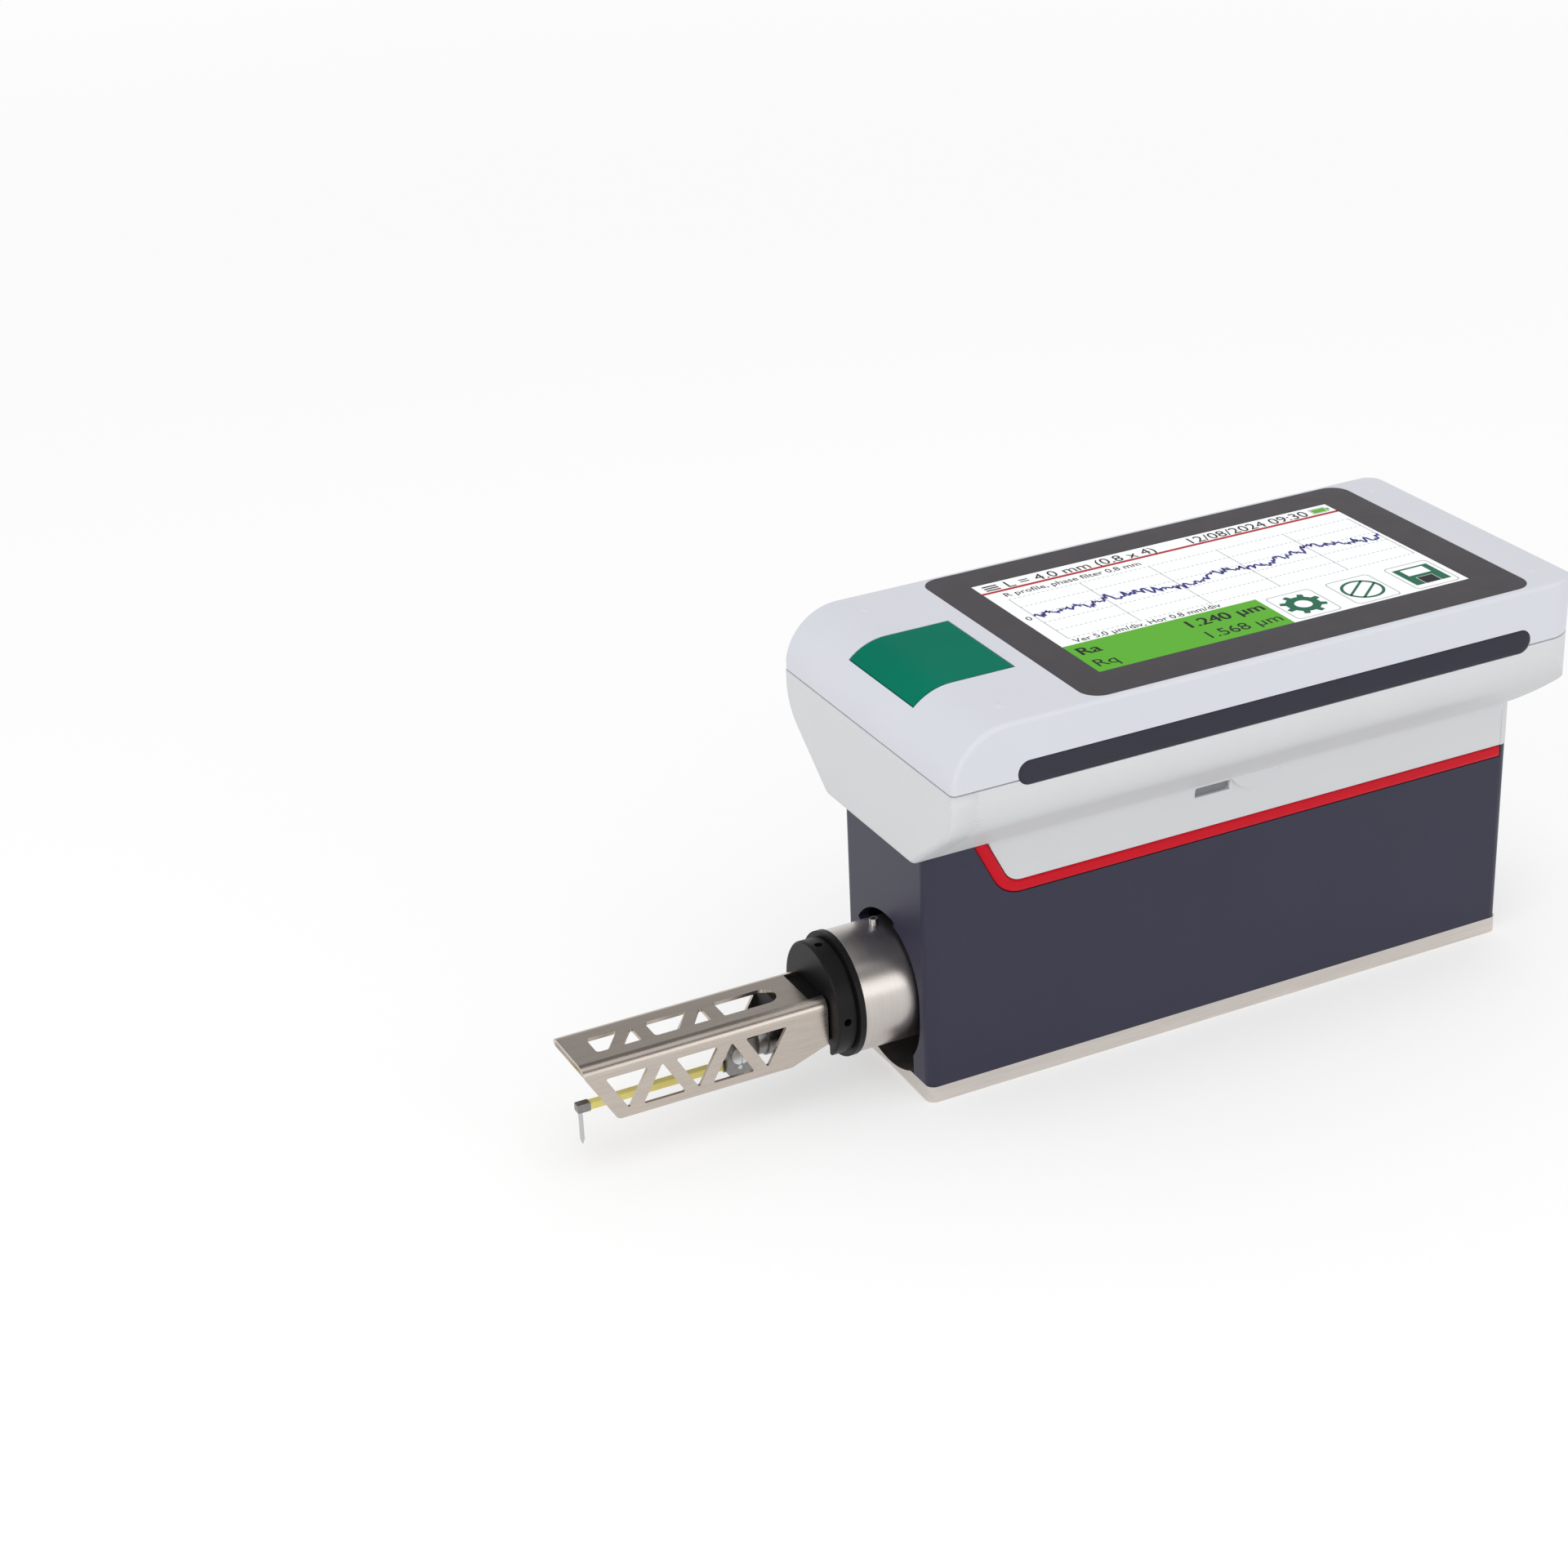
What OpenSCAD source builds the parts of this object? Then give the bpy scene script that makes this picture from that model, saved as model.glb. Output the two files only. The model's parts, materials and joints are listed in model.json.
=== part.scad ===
// Portable surface roughness tester: a display housing on a traverse unit with a
// retracting pickup tube, a truss-cut probe guard and a pivoting stylus arm.
// Lengths are millimetres. X runs along the instrument with the probe towards -X,
// Y runs across it, and Z = 0 is the surface that the base plate stands on.

/* [Housing] */
// Length of the display housing
housing_len = 159.6; // [152:0.2:170]
// Width of the display housing
housing_w = 75.8; // [72:0.2:84]
// Height of the top cover above the seam, which is also the radius of its nose
cover_h = 13.2; // [12:0.2:15]
// Height of the lower housing from the drive case to the seam
tub_h = 23.7; // [22:0.1:28]
// Depth of the upright band of the lower housing under the seam
tub_band = 9; // [8:0.2:10]
// Radius where the upright band turns into the flank
flank_r = 12; // [8:0.5:13]
// Radius of the lower housing's rear edge underneath
under_r = 6; // [3:0.5:8]
// How far the housing stands in front of the drive case
housing_lead = 3.6; // [2:0.1:5]
// Wall of the two housing shells
shell_t = 2; // [1.8:0.1:2.4]
// Radius of the housing's rear corners, seen from above
rear_corner_r = 8.5; // [6:0.5:11]
// Radius of the housing's front corners, seen from above
front_corner_r = 1.4; // [1:0.1:3]
// Radius of the edge between the lower housing's front and a flank
flank_edge_r = 6; // [3:0.5:7]
// Radius of the edges along the cover's top and round its nose
edge_r = 1; // [0.5:0.1:1.1]
// Radius of the cover's rear upper edge
rear_edge_r = 3; // [2.6:0.2:5]
// Height of the shadow gap under the cover
seam_gap = 0.35; // [0.2:0.05:0.6]
// Depth of the shadow gap under the cover
seam_depth = 0.6; // [0.3:0.1:1]
// Diameter of the small locating bumps on the cover
bump_d = 2.6; // [2:0.2:4]

/* [Display] */
// Cover left beside the lens on each side
lens_rim = 1.5; // [1.4:0.1:4]
// Length of the lens
lens_len = 113.4; // [108:0.2:116]
// Distance from the housing's front to the lens
lens_inset = 33.3; // [33:0.1:36]
// Thickness of the lens
lens_t = 1; // [0.8:0.1:1.2]
// Corner radius of the lens
lens_r = 4.5; // [2:0.5:8]
// Length of the visible screen
screen_len = 95; // [88:0.5:97]
// Width of the visible screen
screen_w = 53.9; // [50:0.1:57]
// How far the screen's middle lies in front of the lens's middle
screen_lead = 0.4; // [0:0.1:1.5]
// How far the screen sits off the centre line
screen_shift = 1.1; // [0:0.1:1.5]
// Thickness of the display module behind the cover
lcd_t = 3.5; // [3:0.1:5]

/* [Start button] */
// Width of the start button
button_w = 28.4; // [22:0.2:34]
// Length of the start button, seen from above
button_len = 24; // [21:0.2:25]
// Distance from the housing's front to the button's front edge
button_inset = 4.4; // [4:0.1:5]
// Gap all round the button
button_gap = 0.25; // [0.2:0.05:0.4]
// Travel of the button
press = 0.8; // [0.5:0.1:1.2]

/* [Grip strips] */
// Length of a grip strip
strip_len = 129.6; // [110:0.2:132]
// Height of a grip strip
strip_h = 5.4; // [4:0.2:7]
// Distance from the housing's front to a strip
strip_inset = 15.5; // [12:0.1:18]
// Height of a strip's middle above the seam
strip_rise = 1.1; // [0:0.1:2]
// Depth of a strip's seat
strip_seat = 1; // [0.6:0.1:1.2]
// How far a strip stands out of the housing
strip_proud = 0.25; // [0.1:0.05:0.5]

/* [Skirt and trim] */
// Height of the housing's side skirts below the top of the drive case
skirt_h = 10.8; // [8:0.2:14]
// Distance from the drive case's front to a skirt, at its top
skirt_inset = 15.2; // [13:0.2:20]
// Lean of a skirt's front end from the vertical, in degrees
skirt_lean = 27; // [20:1:45]
// Thickness of a skirt
skirt_t = 1.4; // [1:0.1:1.5]
// Distance from a skirt's end to the rear of the drive case
skirt_tail = 2.6; // [2.6:0.2:8]
// Radius of a skirt's lower front corner
skirt_r = 4.5; // [2:0.5:5]
// Radius of the hollow where a skirt runs into the flank
skirt_fillet = 4; // [3.8:0.1:5]
// Width of the coloured trim round a skirt
trim_w = 3; // [2:0.2:4]
// How far the trim stands out of the drive case
trim_proud = 0.6; // [0.2:0.1:0.8]

/* [Drive case] */
// Length of the drive case
case_len = 153.7; // [150:0.1:160]
// Width of the drive case
case_w = 37.7; // [36.5:0.1:42]
// Height of the drive case above the base plate
case_h = 56.5; // [55:0.5:64]
// Wall of the drive case
case_t = 2.5; // [2.3:0.1:2.8]
// Radius of the drive case's upright edges
case_r = 2.6; // [2.6:0.2:4]
// Width of the front opening at the base plate
mouth_w = 23; // [18:0.5:24]

/* [Base plate] */
// Thickness of the base plate
plate_t = 3.9; // [3.6:0.1:5]
// Depth of the shallow prism under the base plate
vee_h = 0.6; // [0.3:0.1:0.8]
// Width of the flat rest at each side of the prism
land_w = 2.5; // [1.5:0.1:4]
// Radius of the base plate's upright corners
plate_r = 2; // [1:0.2:3]
// Gap between the lowered pickup tube and the channel in the base plate
channel_gap = 2.9; // [2.4:0.1:3]

/* [Pickup tube] */
// Height of the pickup tube's axis
axis_h = 22.7; // [22.2:0.1:23.4]
// Diameter of the pickup tube
tube_d = 27.7; // [26:0.1:28]
// Wall of the pickup tube
tube_t = 2; // [1:0.1:3]
// Length of the tube in front of the drive case
tube_out = 12.5; // [11:0.1:15]
// How much the cap's flange is larger than the tube, on the radius
flange_over = 0.35; // [0.1:0.05:0.6]
// Thickness of the cap's flange
flange_t = 1.4; // [1:0.1:2]
// Width of the groove behind the cap's head
groove_w = 0.5; // [0.3:0.1:1]
// Depth of that groove, measured from the head
groove_depth = 0.4; // [0.2:0.1:0.8]
// How much the cap's head is smaller than its flange, on the radius
head_step = 1.2; // [0.8:0.1:1.6]
// Thickness of the cap's head
head_t = 4.1; // [3:0.1:5]
// Gap between the cap's flange and the drive case's opening
mouth_gap = 0.7; // [0.4:0.1:0.9]

/* [Probe guard] */
// Length of the probe guard
guard_len = 57.8; // [57:0.2:64]
// Width of the probe guard
guard_w = 17; // [15:0.2:18.4]
// Height of the guard's sides
guard_h = 14.1; // [13:0.1:15]
// Height of the guard's top above the tube's axis
guard_rise = 4.1; // [3:0.1:5]
// Thickness of the guard's sheet
guard_t = 0.8; // [0.5:0.1:1]
// Outer radius of the guard's bends
guard_bend = 2.5; // [1.2:0.1:2.6]
// Pitch of the truss cut-outs
truss_pitch = 16.3; // [15.6:0.1:16.4]
// Width of a strut, measured along the guard
strut_w = 3.2; // [2.4:0.1:3.6]
// Height of the rail above the side cut-outs
rail_top = 3.6; // [3:0.1:4.2]
// Height of the rail below the side cut-outs
rail_low = 1.9; // [1.4:0.1:2.6]
// Width of the cut-outs in the guard's top
top_cut_w = 6.2; // [5:0.1:8]

/* [Stylus arm] */
// Drop from the tube's axis to the stylus arm
arm_drop = 10; // [9.4:0.1:10.4]
// Height and width of the stylus arm
arm_h = 1.8; // [1.4:0.1:2.2]
// Length of the stylus arm from its pivot to the stylus
arm_reach = 36.7; // [34:0.1:37]
// Distance from the cap's head to the arm's pivot
pivot_inset = 19.2; // [18.6:0.1:20]
// Diameter of the pivot pin
pivot_d = 1; // [0.8:0.1:1.2]
// Diameter of the stylus
stylus_d = 1; // [0.7:0.1:1.2]
// Length of the stylus below the arm's middle
stylus_len = 9.1; // [7:0.1:9.6]

/* [Drive] */
// Traverse of the pickup
travel = 17.5; // [15:0.5:19]
// Height adjustment of the pickup
lift = 4.5; // [3:0.1:4.8]
// Diameter of the two guide rods
rod_d = 5; // [4:0.5:6]
// Diameter of the lead screw and the lift screw
spindle_d = 4; // [3:0.5:5]
// Diameter of the two lift posts
post_d = 5; // [4:0.5:6]
// Length of the carriage
carriage_len = 28; // [24:1:32]
// Diameter of the two motors
motor_d = 16; // [14:0.5:17]
// Length of the traverse motor
motor_len = 28; // [24:1:30]
// Radial clearance of what turns or slides in a bore
run_gap = 0.05; // [0.03:0.01:0.08]

/* [Hidden] */
$fn = 64;

// Overshoot of a cut past the face that it opens
over = 1;
// Clearance of a piece that is fitted by hand into its seat
seat_gap = 0.1;
// Clearance of a hole round a shaft that other bearings carry
clear_gap = 0.4;
// Gap between moving pieces at the ends of their travel
end_gap = 1.5;
// Upright bit that the round ends of an outline keep
round_flat = 0.01;
// How far a round corner laps over the two edges that it joins
lap = 0.001;

// Levels and ends of the main pieces
case_top = plate_t + case_h;
seam_z = case_top + tub_h;
top_z = seam_z + cover_h;
ceiling_z = top_z - shell_t;
floor_z = case_top + shell_t;
house_x0 = -housing_lead;
house_x1 = house_x0 + housing_len;
house_hw = housing_w / 2;
case_hw = case_w / 2;
inner_hw = case_hw - case_t;
case_ceiling = case_top - case_t;
// Rear end of the length that the housing and the drive case share
shared_x1 = min(case_len, house_x1);

// Flank of the lower housing
foot_over = 0.5;
foot_hw = case_hw + foot_over;
foot_r = 3;
front_under_r = 1.2;
flank_a = atan2(tub_h - tub_band, house_hw - foot_hw);

// Lens and screen
lens_x0 = house_x0 + lens_inset;
lens_x1 = lens_x0 + lens_len;
lens_hw = house_hw - lens_rim;
screen_x0 = lens_x0 + (lens_len - screen_len) / 2 - screen_lead;
screen_x1 = screen_x0 + screen_len;
screen_y0 = screen_shift - screen_w / 2;
screen_y1 = screen_shift + screen_w / 2;
glass_drop = 0.1;
lcd_margin = [3, 4];

// Main board on its bosses
board_t = 1.6;
board_drop = 5.7;
board_z1 = seam_z - board_drop;
board_z0 = board_z1 - board_t;
board_front = 4;
board_rear = 1.5;
board_side = 5;
board_x0 = house_x0 + shell_t + board_front;
board_x1 = house_x1 - shell_t - board_rear;
board_hw = house_hw - shell_t - board_side;
boss_r = 3.2;
boss_front = 6;
boss_rear = 14;
boss_side = 6;
boss_xs = [board_x0 + boss_front, board_x1 - boss_rear];
boss_y = board_hw - boss_side;
board_screw_r = 1;
board_head_r = 2;
board_head_t = 1.5;
board_screw_depth = 6;

// Start button and its switch
button_x0 = house_x0 + button_inset;
button_x1 = button_x0 + button_len;
button_hw = button_w / 2;
lip_w = 1.1;
lip_t = 1;
lip_x0 = house_x0 + cover_h + lip_w;
lip_z1 = ceiling_z - seat_gap;
stem_r = 2;
stem_inset = 9;
stem_x = button_x1 - stem_inset;
switch_hw = 3;
switch_h = 4;
plunger_r = 1.7;
plunger_h = 1.2;
plunger_z1 = board_z1 + switch_h + plunger_h;
stem_z0 = plunger_z1 + press + seat_gap;

// Battery and sockets
battery_len = 60;
battery_side = 3.5;
battery_hw = foot_hw - battery_side;
battery_h = 11;
battery_r = 2;
battery_x0 = house_x0 + (housing_len - battery_len) / 2;
socket_lap = 8;
socket_x0 = board_x1 - socket_lap;
socket_x1 = house_x1 - shell_t / 2;
socket_y = 12;
socket_t = 0.5;
charge_r = 2.6;
charge_z = board_z1 + charge_r;
charge_hole_r = 1.7;
data_hw = 4.5;
data_h = 3.2;

// Grip strips
strip_x0 = house_x0 + strip_inset;
strip_x1 = strip_x0 + strip_len;
strip_z = seam_z + strip_rise;
strip_end_r = strip_h / 2;

// Skirts, and the catch on the near one
skirt_x1 = shared_x1 - skirt_tail;
catch_x = 82.8;
catch_len = 12.8;
catch_h = 3.8;
catch_proud = 0.8;
catch_slot_len = 9;
catch_slot_h = 2.5;
catch_slot_drop = 0.5;
catch_slot_z1 = case_top - catch_slot_drop;

// Screws between the housing, the drive case and the base plate
housing_screw_r = 1.5;
housing_head_r = 2.75;
housing_head_t = 3;
housing_screw_front = 14;
housing_screw_rear = 12;
housing_screw_xs = [housing_screw_front, shared_x1 - housing_screw_rear];
housing_screw_y = 10;
base_boss_len = 8;
base_boss_w = 4.2;
base_boss_h = 5;
base_screw_r = 1.25;
base_head_r = 2.4;
base_head_t = 1.2;
base_head_z = plate_t / 2;
base_key_d = 2.4;
base_key_depth = 0.8;
base_boss_roof = 1;
base_screw_z1 = plate_t + base_boss_h - base_boss_roof;
base_screw_xs = [case_t + base_boss_len / 2, case_len - case_t - base_boss_len / 2];
base_screw_out = 0.4;
base_screw_y = inner_hw - base_boss_w / 2 + base_screw_out;

// Pickup tube and end cap
tube_r = tube_d / 2;
tube_x0 = -tube_out;
flange_r = tube_r + flange_over;
flange_x0 = tube_x0 - flange_t;
groove_x0 = flange_x0 - groove_w;
cap_x = groove_x0 - head_t;
head_r = flange_r - head_step;
groove_r = head_r - groove_depth;
spigot_r = tube_r - tube_t - run_gap;
cap_edge = 0.4;
set_hole_r = 0.9;
set_hole_depth = 2;
set_hole_x = cap_x + head_t / 2;

// Clamp screw, and the drive case's mouth that it passes through
clamp_a = 88;
clamp_r = 1;
clamp_rise = 1.6;
clamp_key_d = 1;
clamp_lead = 1.6;
clamp_x = -clamp_r - clamp_lead;
clamp_land = 2;
spigot_x1 = clamp_x + clamp_r + clamp_land;
mouth_r = flange_r + mouth_gap;
notch_gap = 0.6;
notch_r = tube_r + clamp_rise + notch_gap;
notch_from = 36;
notch_to = 104;

// Probe guard
guard_x0 = cap_x - guard_len;
guard_gap = 0.5;
guard_x1 = cap_x - guard_gap;
guard_z1 = axis_h + guard_rise;
guard_z0 = guard_z1 - guard_h;
guard_hw = guard_w / 2;
guard_in = guard_hw - guard_t;
guard_in_r = guard_bend - guard_t;
guard_in_z = guard_z1 - guard_t;
guard_edge_r = 0.5;
guard_toe_r = 1.5;
lip_h = 2.7;
lip_lean = 0.5;
toe_run = 7.2;
heel_run = 9;
heel_rise = 3.2;
tail_cut = 3.4;
cut_r = 0.35;
top_cut_r = 0.8;
truss_z0 = guard_z0 + rail_low;
truss_z1 = guard_z1 - rail_top;
truss_inset = 9.9;
truss_x0 = guard_x0 + truss_inset;
truss_half = (truss_pitch - 2 * strut_w) / 2;
top_strut_inset = 17.5;
top_strut_x = guard_x0 + top_strut_inset;
top_cut_front = 5.6;
top_cut_rear = 8.4;
top_cut_x0 = guard_x0 + top_cut_front;
top_cut_x1 = guard_x1 - top_cut_rear;
top_cut_y = top_cut_w / 2;
top_lean = 4.3;

// Pickup behind the guard
block_len = 10;
block_rise = 3.4;
block_x0 = cap_x - block_len;
block_z0 = guard_z0 + block_rise;
barrel_len = 15;
barrel_drop = 5.2;
barrel_x0 = cap_x - barrel_len;
barrel_r = 4;
barrel_z = axis_h - barrel_drop;
ring_r = 4.5;
ring_t = 1.4;
ring_inset = 2.2;
ring_x0 = barrel_x0 + ring_inset;

// Arm, its pivot and its holder
pivot_x = cap_x - pivot_inset;
pivot_z = axis_h - arm_drop;
eye_r = 1.5;
eye_w = 2.2;
hub_len = 3.4;
hub_over = 0.6;
hub_x0 = pivot_x - hub_len;
hub_h = arm_h + hub_over;
arm_r = 0.3;
side_play = 0.3;
cheek_t = 1.2;
cheek_in = eye_w / 2 + side_play;
holder_hw = cheek_in + cheek_t;
holder_front = 3;
holder_under = 0.2;
holder_x0 = pivot_x - holder_front;
holder_z0 = pivot_z - eye_r - holder_under;
holder_z1 = barrel_z + eye_r;
holder_r = 1;
holder_slot_x1 = pivot_x + eye_r + side_play;
holder_slot_z1 = pivot_z + eye_r + side_play;
holder_screw_rise = 3.4;
holder_screw_z = pivot_z + holder_screw_rise;
holder_screw_r = 2.2;
holder_screw_t = 0.9;
holder_shank_r = 1;
driver_slot_w = 0.5;
stylus_x = pivot_x - arm_reach;
stylus_tip_r = 0.1;
stylus_tip_h = 1.2;
stylus_z0 = pivot_z - stylus_len;
jaw_wall = 0.4;
jaw_x0 = stylus_x - stylus_d / 2 - jaw_wall;
jaw_tail = 2.2;
jaw_x1 = stylus_x + jaw_tail;
jaw_hw = stylus_d / 2 + jaw_wall;
jaw_over = 0.2;
jaw_h = arm_h + jaw_over;

// Board at the rear of the drive case
frame_play = 0.8;
frame_hw = inner_hw - frame_play;
standoff_len = 4;
standoff_r = 2.5;
standoff_inset = 5;
board_play = 1;
drive_board_x1 = case_len - case_t - standoff_len;
drive_board_x0 = drive_board_x1 - board_t;
drive_board_z0 = plate_t + base_boss_h + board_play;
drive_board_z1 = case_ceiling - board_play;
drive_board_r = 2;
standoff_ys = [-1, 1] * (frame_hw - standoff_inset);
standoff_zs = [drive_board_z0 + standoff_inset, drive_board_z1 - standoff_inset];

// Places along the drive, from the board forwards: lift motor, traverse motor, rear block,
// carriage and front plate
board_room = 14.5;
motor_r = motor_d / 2;
lift_x = drive_board_x0 - board_room - motor_r;
motor_x1 = lift_x - motor_r;
rear_t = 12;
rear_x1 = motor_x1 - motor_len;
rear_x0 = rear_x1 - rear_t;
carriage_x1 = rear_x0 - end_gap - travel;
carriage_x0 = carriage_x1 - carriage_len;
front_t = 5;
front_x1 = carriage_x0 - end_gap;
front_x0 = front_x1 - front_t;

// Traverse drive above the tube
spindle_r = spindle_d / 2;
rod_r = rod_d / 2;
bush_t = 1.2;
bush_r = rod_r + bush_t;
bush_len = 6;
nut_t = 2.2;
nut_r = spindle_r + nut_t;
nut_flange_over = 1.8;
nut_flange_r = nut_r + nut_flange_over;
nut_flange_t = 1.4;
bearing_ring = 2.5;
bearing_r = spindle_r + bearing_ring;
bearing_t = 3;
rod_rise = 7;
rod_axis_z = axis_h + tube_r + rod_r + rod_rise;
rod_web = 1.1;
rod_axis_y = nut_r + bush_r + rod_web;
front_z0 = axis_h + tube_r + end_gap;
carriage_wall = 0.8;
carriage_hw = rod_axis_y + bush_r + carriage_wall;
saddle_lap = 3.5;
carriage_z0 = axis_h + tube_r - saddle_lap;
carriage_roof = 1.8;
carriage_z1 = rod_axis_z + bush_r + carriage_roof;
carriage_r = 2;
tube_x1 = carriage_x1;
rod_grip = 3;
rod_x1 = rear_x0 + rod_grip;
spine_hw = 6;
spine_gap = 1;
spine_z0 = carriage_z1 + spine_gap;
spine_drop = 1.8;
spine_z1 = case_ceiling - spine_drop;
post_r = post_d / 2;
post_wall = [2, 1.4];
post_x = rear_x1 - post_r - post_wall[0];
post_y = frame_hw - post_r - post_wall[1];
lead_tail = 2;
lead_x0 = front_x1 - bearing_t;
lead_x1 = rear_x1 + lead_tail;

// Lift motor and screw, and the shelf that the nut lifts
shelf_rise = 5;
shelf_t = 6;
shelf_z0 = axis_h + shelf_rise;
shelf_z1 = shelf_z0 + shelf_t;
shelf_hw = 7;
shelf_r = 3;
shelf_short = 2;
shelf_x1 = lift_x + motor_r - shelf_short;
lift_motor_z1 = shelf_z0 - lift - end_gap;
lift_collar_t = 2;
lift_collar_z = lift_motor_z1 - lift_collar_t;
lift_flange_t = 1;
lift_flange_over = 2;
lift_flange_hw = motor_r + lift_flange_over;
lift_flange_r = 2;
lift_seat_depth = 4;
lift_seat_z = lift_motor_z1 - lift_seat_depth;
lift_screw_end = 1;
lift_screw_z1 = shelf_z1 + nut_flange_t + lift_screw_end;

// Middle of the instrument, from the guard's tip to the housing's rear
frame_x = (guard_x0 + house_x1) / 2;

function unit(v) = v / norm(v);
function half_angle(p, a, b) = acos(unit(a - p) * unit(b - p)) / 2;
function flank_y(z, inset) = foot_hw + (z - case_top) / tan(flank_a) - inset / sin(flank_a);
function flank_z(y, inset) = case_top + (y - foot_hw + inset / sin(flank_a)) * tan(flank_a);

// Convex outline whose corners are rounded by one radius each
module outline(points, radii) {
    count = len(points);
    polygon([for (i = [0:count - 1])
        let (p = points[i], a = points[(i + count - 1) % count], b = points[(i + 1) % count])
        let (reach = radii[i] / tan(half_angle(p, a, b)))
        each radii[i] == 0 ? [p] : [p + unit(a - p) * reach, p + unit(b - p) * reach]]);
    for (i = [0:count - 1])
        if (radii[i] > 0) {
            p = points[i];
            a = points[(i + count - 1) % count];
            b = points[(i + 1) % count];
            half = half_angle(p, a, b);
            reach = radii[i] / tan(half);
            middle = p + unit(unit(a - p) + unit(b - p)) * radii[i] / sin(half);
            intersection() {
                polygon([p + unit(a - p) * reach, p, p + unit(b - p) * reach, middle]);
                translate(middle)
                    circle(radii[i] + lap);
            }
        }
}

// Rectangle between two corners, with one radius for all four
module soft_box(low, high, r)
    outline([low, [high[0], low[1]], high, [low[0], high[1]]], [r, r, r, r]);

// Extrusion along X of a shape drawn in Y and Z
module along_x(x0, x1) translate([x0, 0, 0]) rotate([90, 0, 90]) linear_extrude(x1 - x0) children();

// Extrusion along Y of a shape drawn in X and Z
module along_y(y0, y1) translate([0, y1, 0]) rotate([90, 0, 0]) linear_extrude(y1 - y0) children();

// Extrusion along Z of a shape drawn in X and Y
module along_z(z0, z1) translate([0, 0, z0]) linear_extrude(z1 - z0) children();

// Round bars along X, Y and Z between two ends
module bar_x(x0, x1, y, z, r) translate([x0, y, z]) rotate([0, 90, 0]) cylinder(h = x1 - x0, r = r);
module bar_y(x, y0, y1, z, r) translate([x, y1, z]) rotate([90, 0, 0]) cylinder(h = y1 - y0, r = r);
module bar_z(x, y, z0, z1, r) translate([x, y, z0]) cylinder(h = z1 - z0, r = r);

module block(low, high) translate(low) cube(high - low);

module both_sides() {
    children();
    mirror([0, 1, 0]) children();
}

// The instrument stands with the middle of its length over the origin
module placed() translate([-frame_x, 0, 0]) children();

// Plan of the housing, drawn in from its outside by an inset
module housing_plan(inset) {
    front_r = max(front_corner_r - inset, 0);
    rear_r = rear_corner_r - inset;
    outline([[house_x0 + inset, inset - house_hw], [house_x1 - inset, inset - house_hw],
             [house_x1 - inset, house_hw - inset], [house_x0 + inset, house_hw - inset]],
            [front_r, rear_r, rear_r, front_r]);
}

// Form of the cover: a turned nose and a section run to the rear, inside the plan and the side view
module cover_form(inset) {
    foot = inset > 0 ? seam_z - over : seam_z;
    nose_x = house_x0 + cover_h;
    nose_r = cover_h - inset;
    half_w = house_hw - inset;
    side_r = max(edge_r - inset, 0);
    intersection() {
        along_z(foot, top_z) housing_plan(inset);
        along_y(-house_hw - over, house_hw + over)
            outline([[house_x0 - over, foot], [house_x1 - inset, foot],
                     [house_x1 - inset, top_z - inset], [house_x0 - over, top_z - inset]],
                    [0, 0, rear_edge_r - inset, 0]);
        union() {
            translate([nose_x, 0, seam_z])
                rotate([90, 0, 0])
                    rotate_extrude()
                        outline([[0, -half_w], [nose_r, -half_w], [nose_r, half_w], [0, half_w]],
                                [0, side_r, side_r, 0]);
            along_x(nose_x, house_x1 + over)
                outline([[-half_w, foot], [half_w, foot], [half_w, top_z - inset], [-half_w, top_z - inset]],
                        [0, 0, side_r, side_r]);
        }
    }
}

// Extrusion up the slope of a flank of a shape drawn in X and outwards from the flank
module along_flank(inset)
    translate([0, flank_y(case_top, inset), case_top])
        rotate([flank_a - 90, 0, 0])
            translate([0, 0, -housing_w])
                linear_extrude(2 * housing_w) children();

// Form of the lower housing without its skirts
module tub_form(inset) {
    head = inset > 0 ? seam_z + over : seam_z;
    foot = case_top + inset;
    foot_y = flank_y(foot, inset);
    turn = flank_z(house_hw - inset, inset);
    intersection() {
        along_z(foot, head) housing_plan(inset);
        along_y(-house_hw - over, house_hw + over)
            outline([[house_x0 + inset, foot], [house_x1 - inset, foot],
                     [house_x1 - inset, head], [house_x0 + inset, head]],
                    [max(front_under_r - inset, 0), under_r - inset, 0, 0]);
        along_x(house_x0 - over, house_x1 + over)
            outline([[-foot_y, foot], [foot_y, foot], [house_hw - inset, turn], [house_hw - inset, head],
                     [inset - house_hw, head], [inset - house_hw, turn]],
                    [foot_r, foot_r, flank_r - inset, 0, 0, flank_r - inset]);
        flank_edge(inset);
        mirror([0, 1, 0]) flank_edge(inset);
    }
}

// Room inside the rounded edge between the front and a flank
module flank_edge(inset)
    along_flank(inset)
        outline([[house_x0 + inset, -housing_w], [house_x1 + over, -housing_w],
                 [house_x1 + over, round_flat], [house_x0 + inset, round_flat]],
                [0, 0, 0, flank_edge_r - inset]);

// Side view of a skirt, grown at its front and lower edges by a margin, and
// run past its top and its rear end where it is a cut
module skirt_outline(margin, past) {
    drop = skirt_h + margin;
    lead = skirt_inset - margin / cos(skirt_lean);
    outline([[lead - past * tan(skirt_lean), case_top + past],
             [lead + drop * tan(skirt_lean), case_top - drop],
             [skirt_x1 + past, case_top - drop], [skirt_x1 + past, case_top + past]],
            [0, skirt_r + margin, 0, 0]);
}

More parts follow.
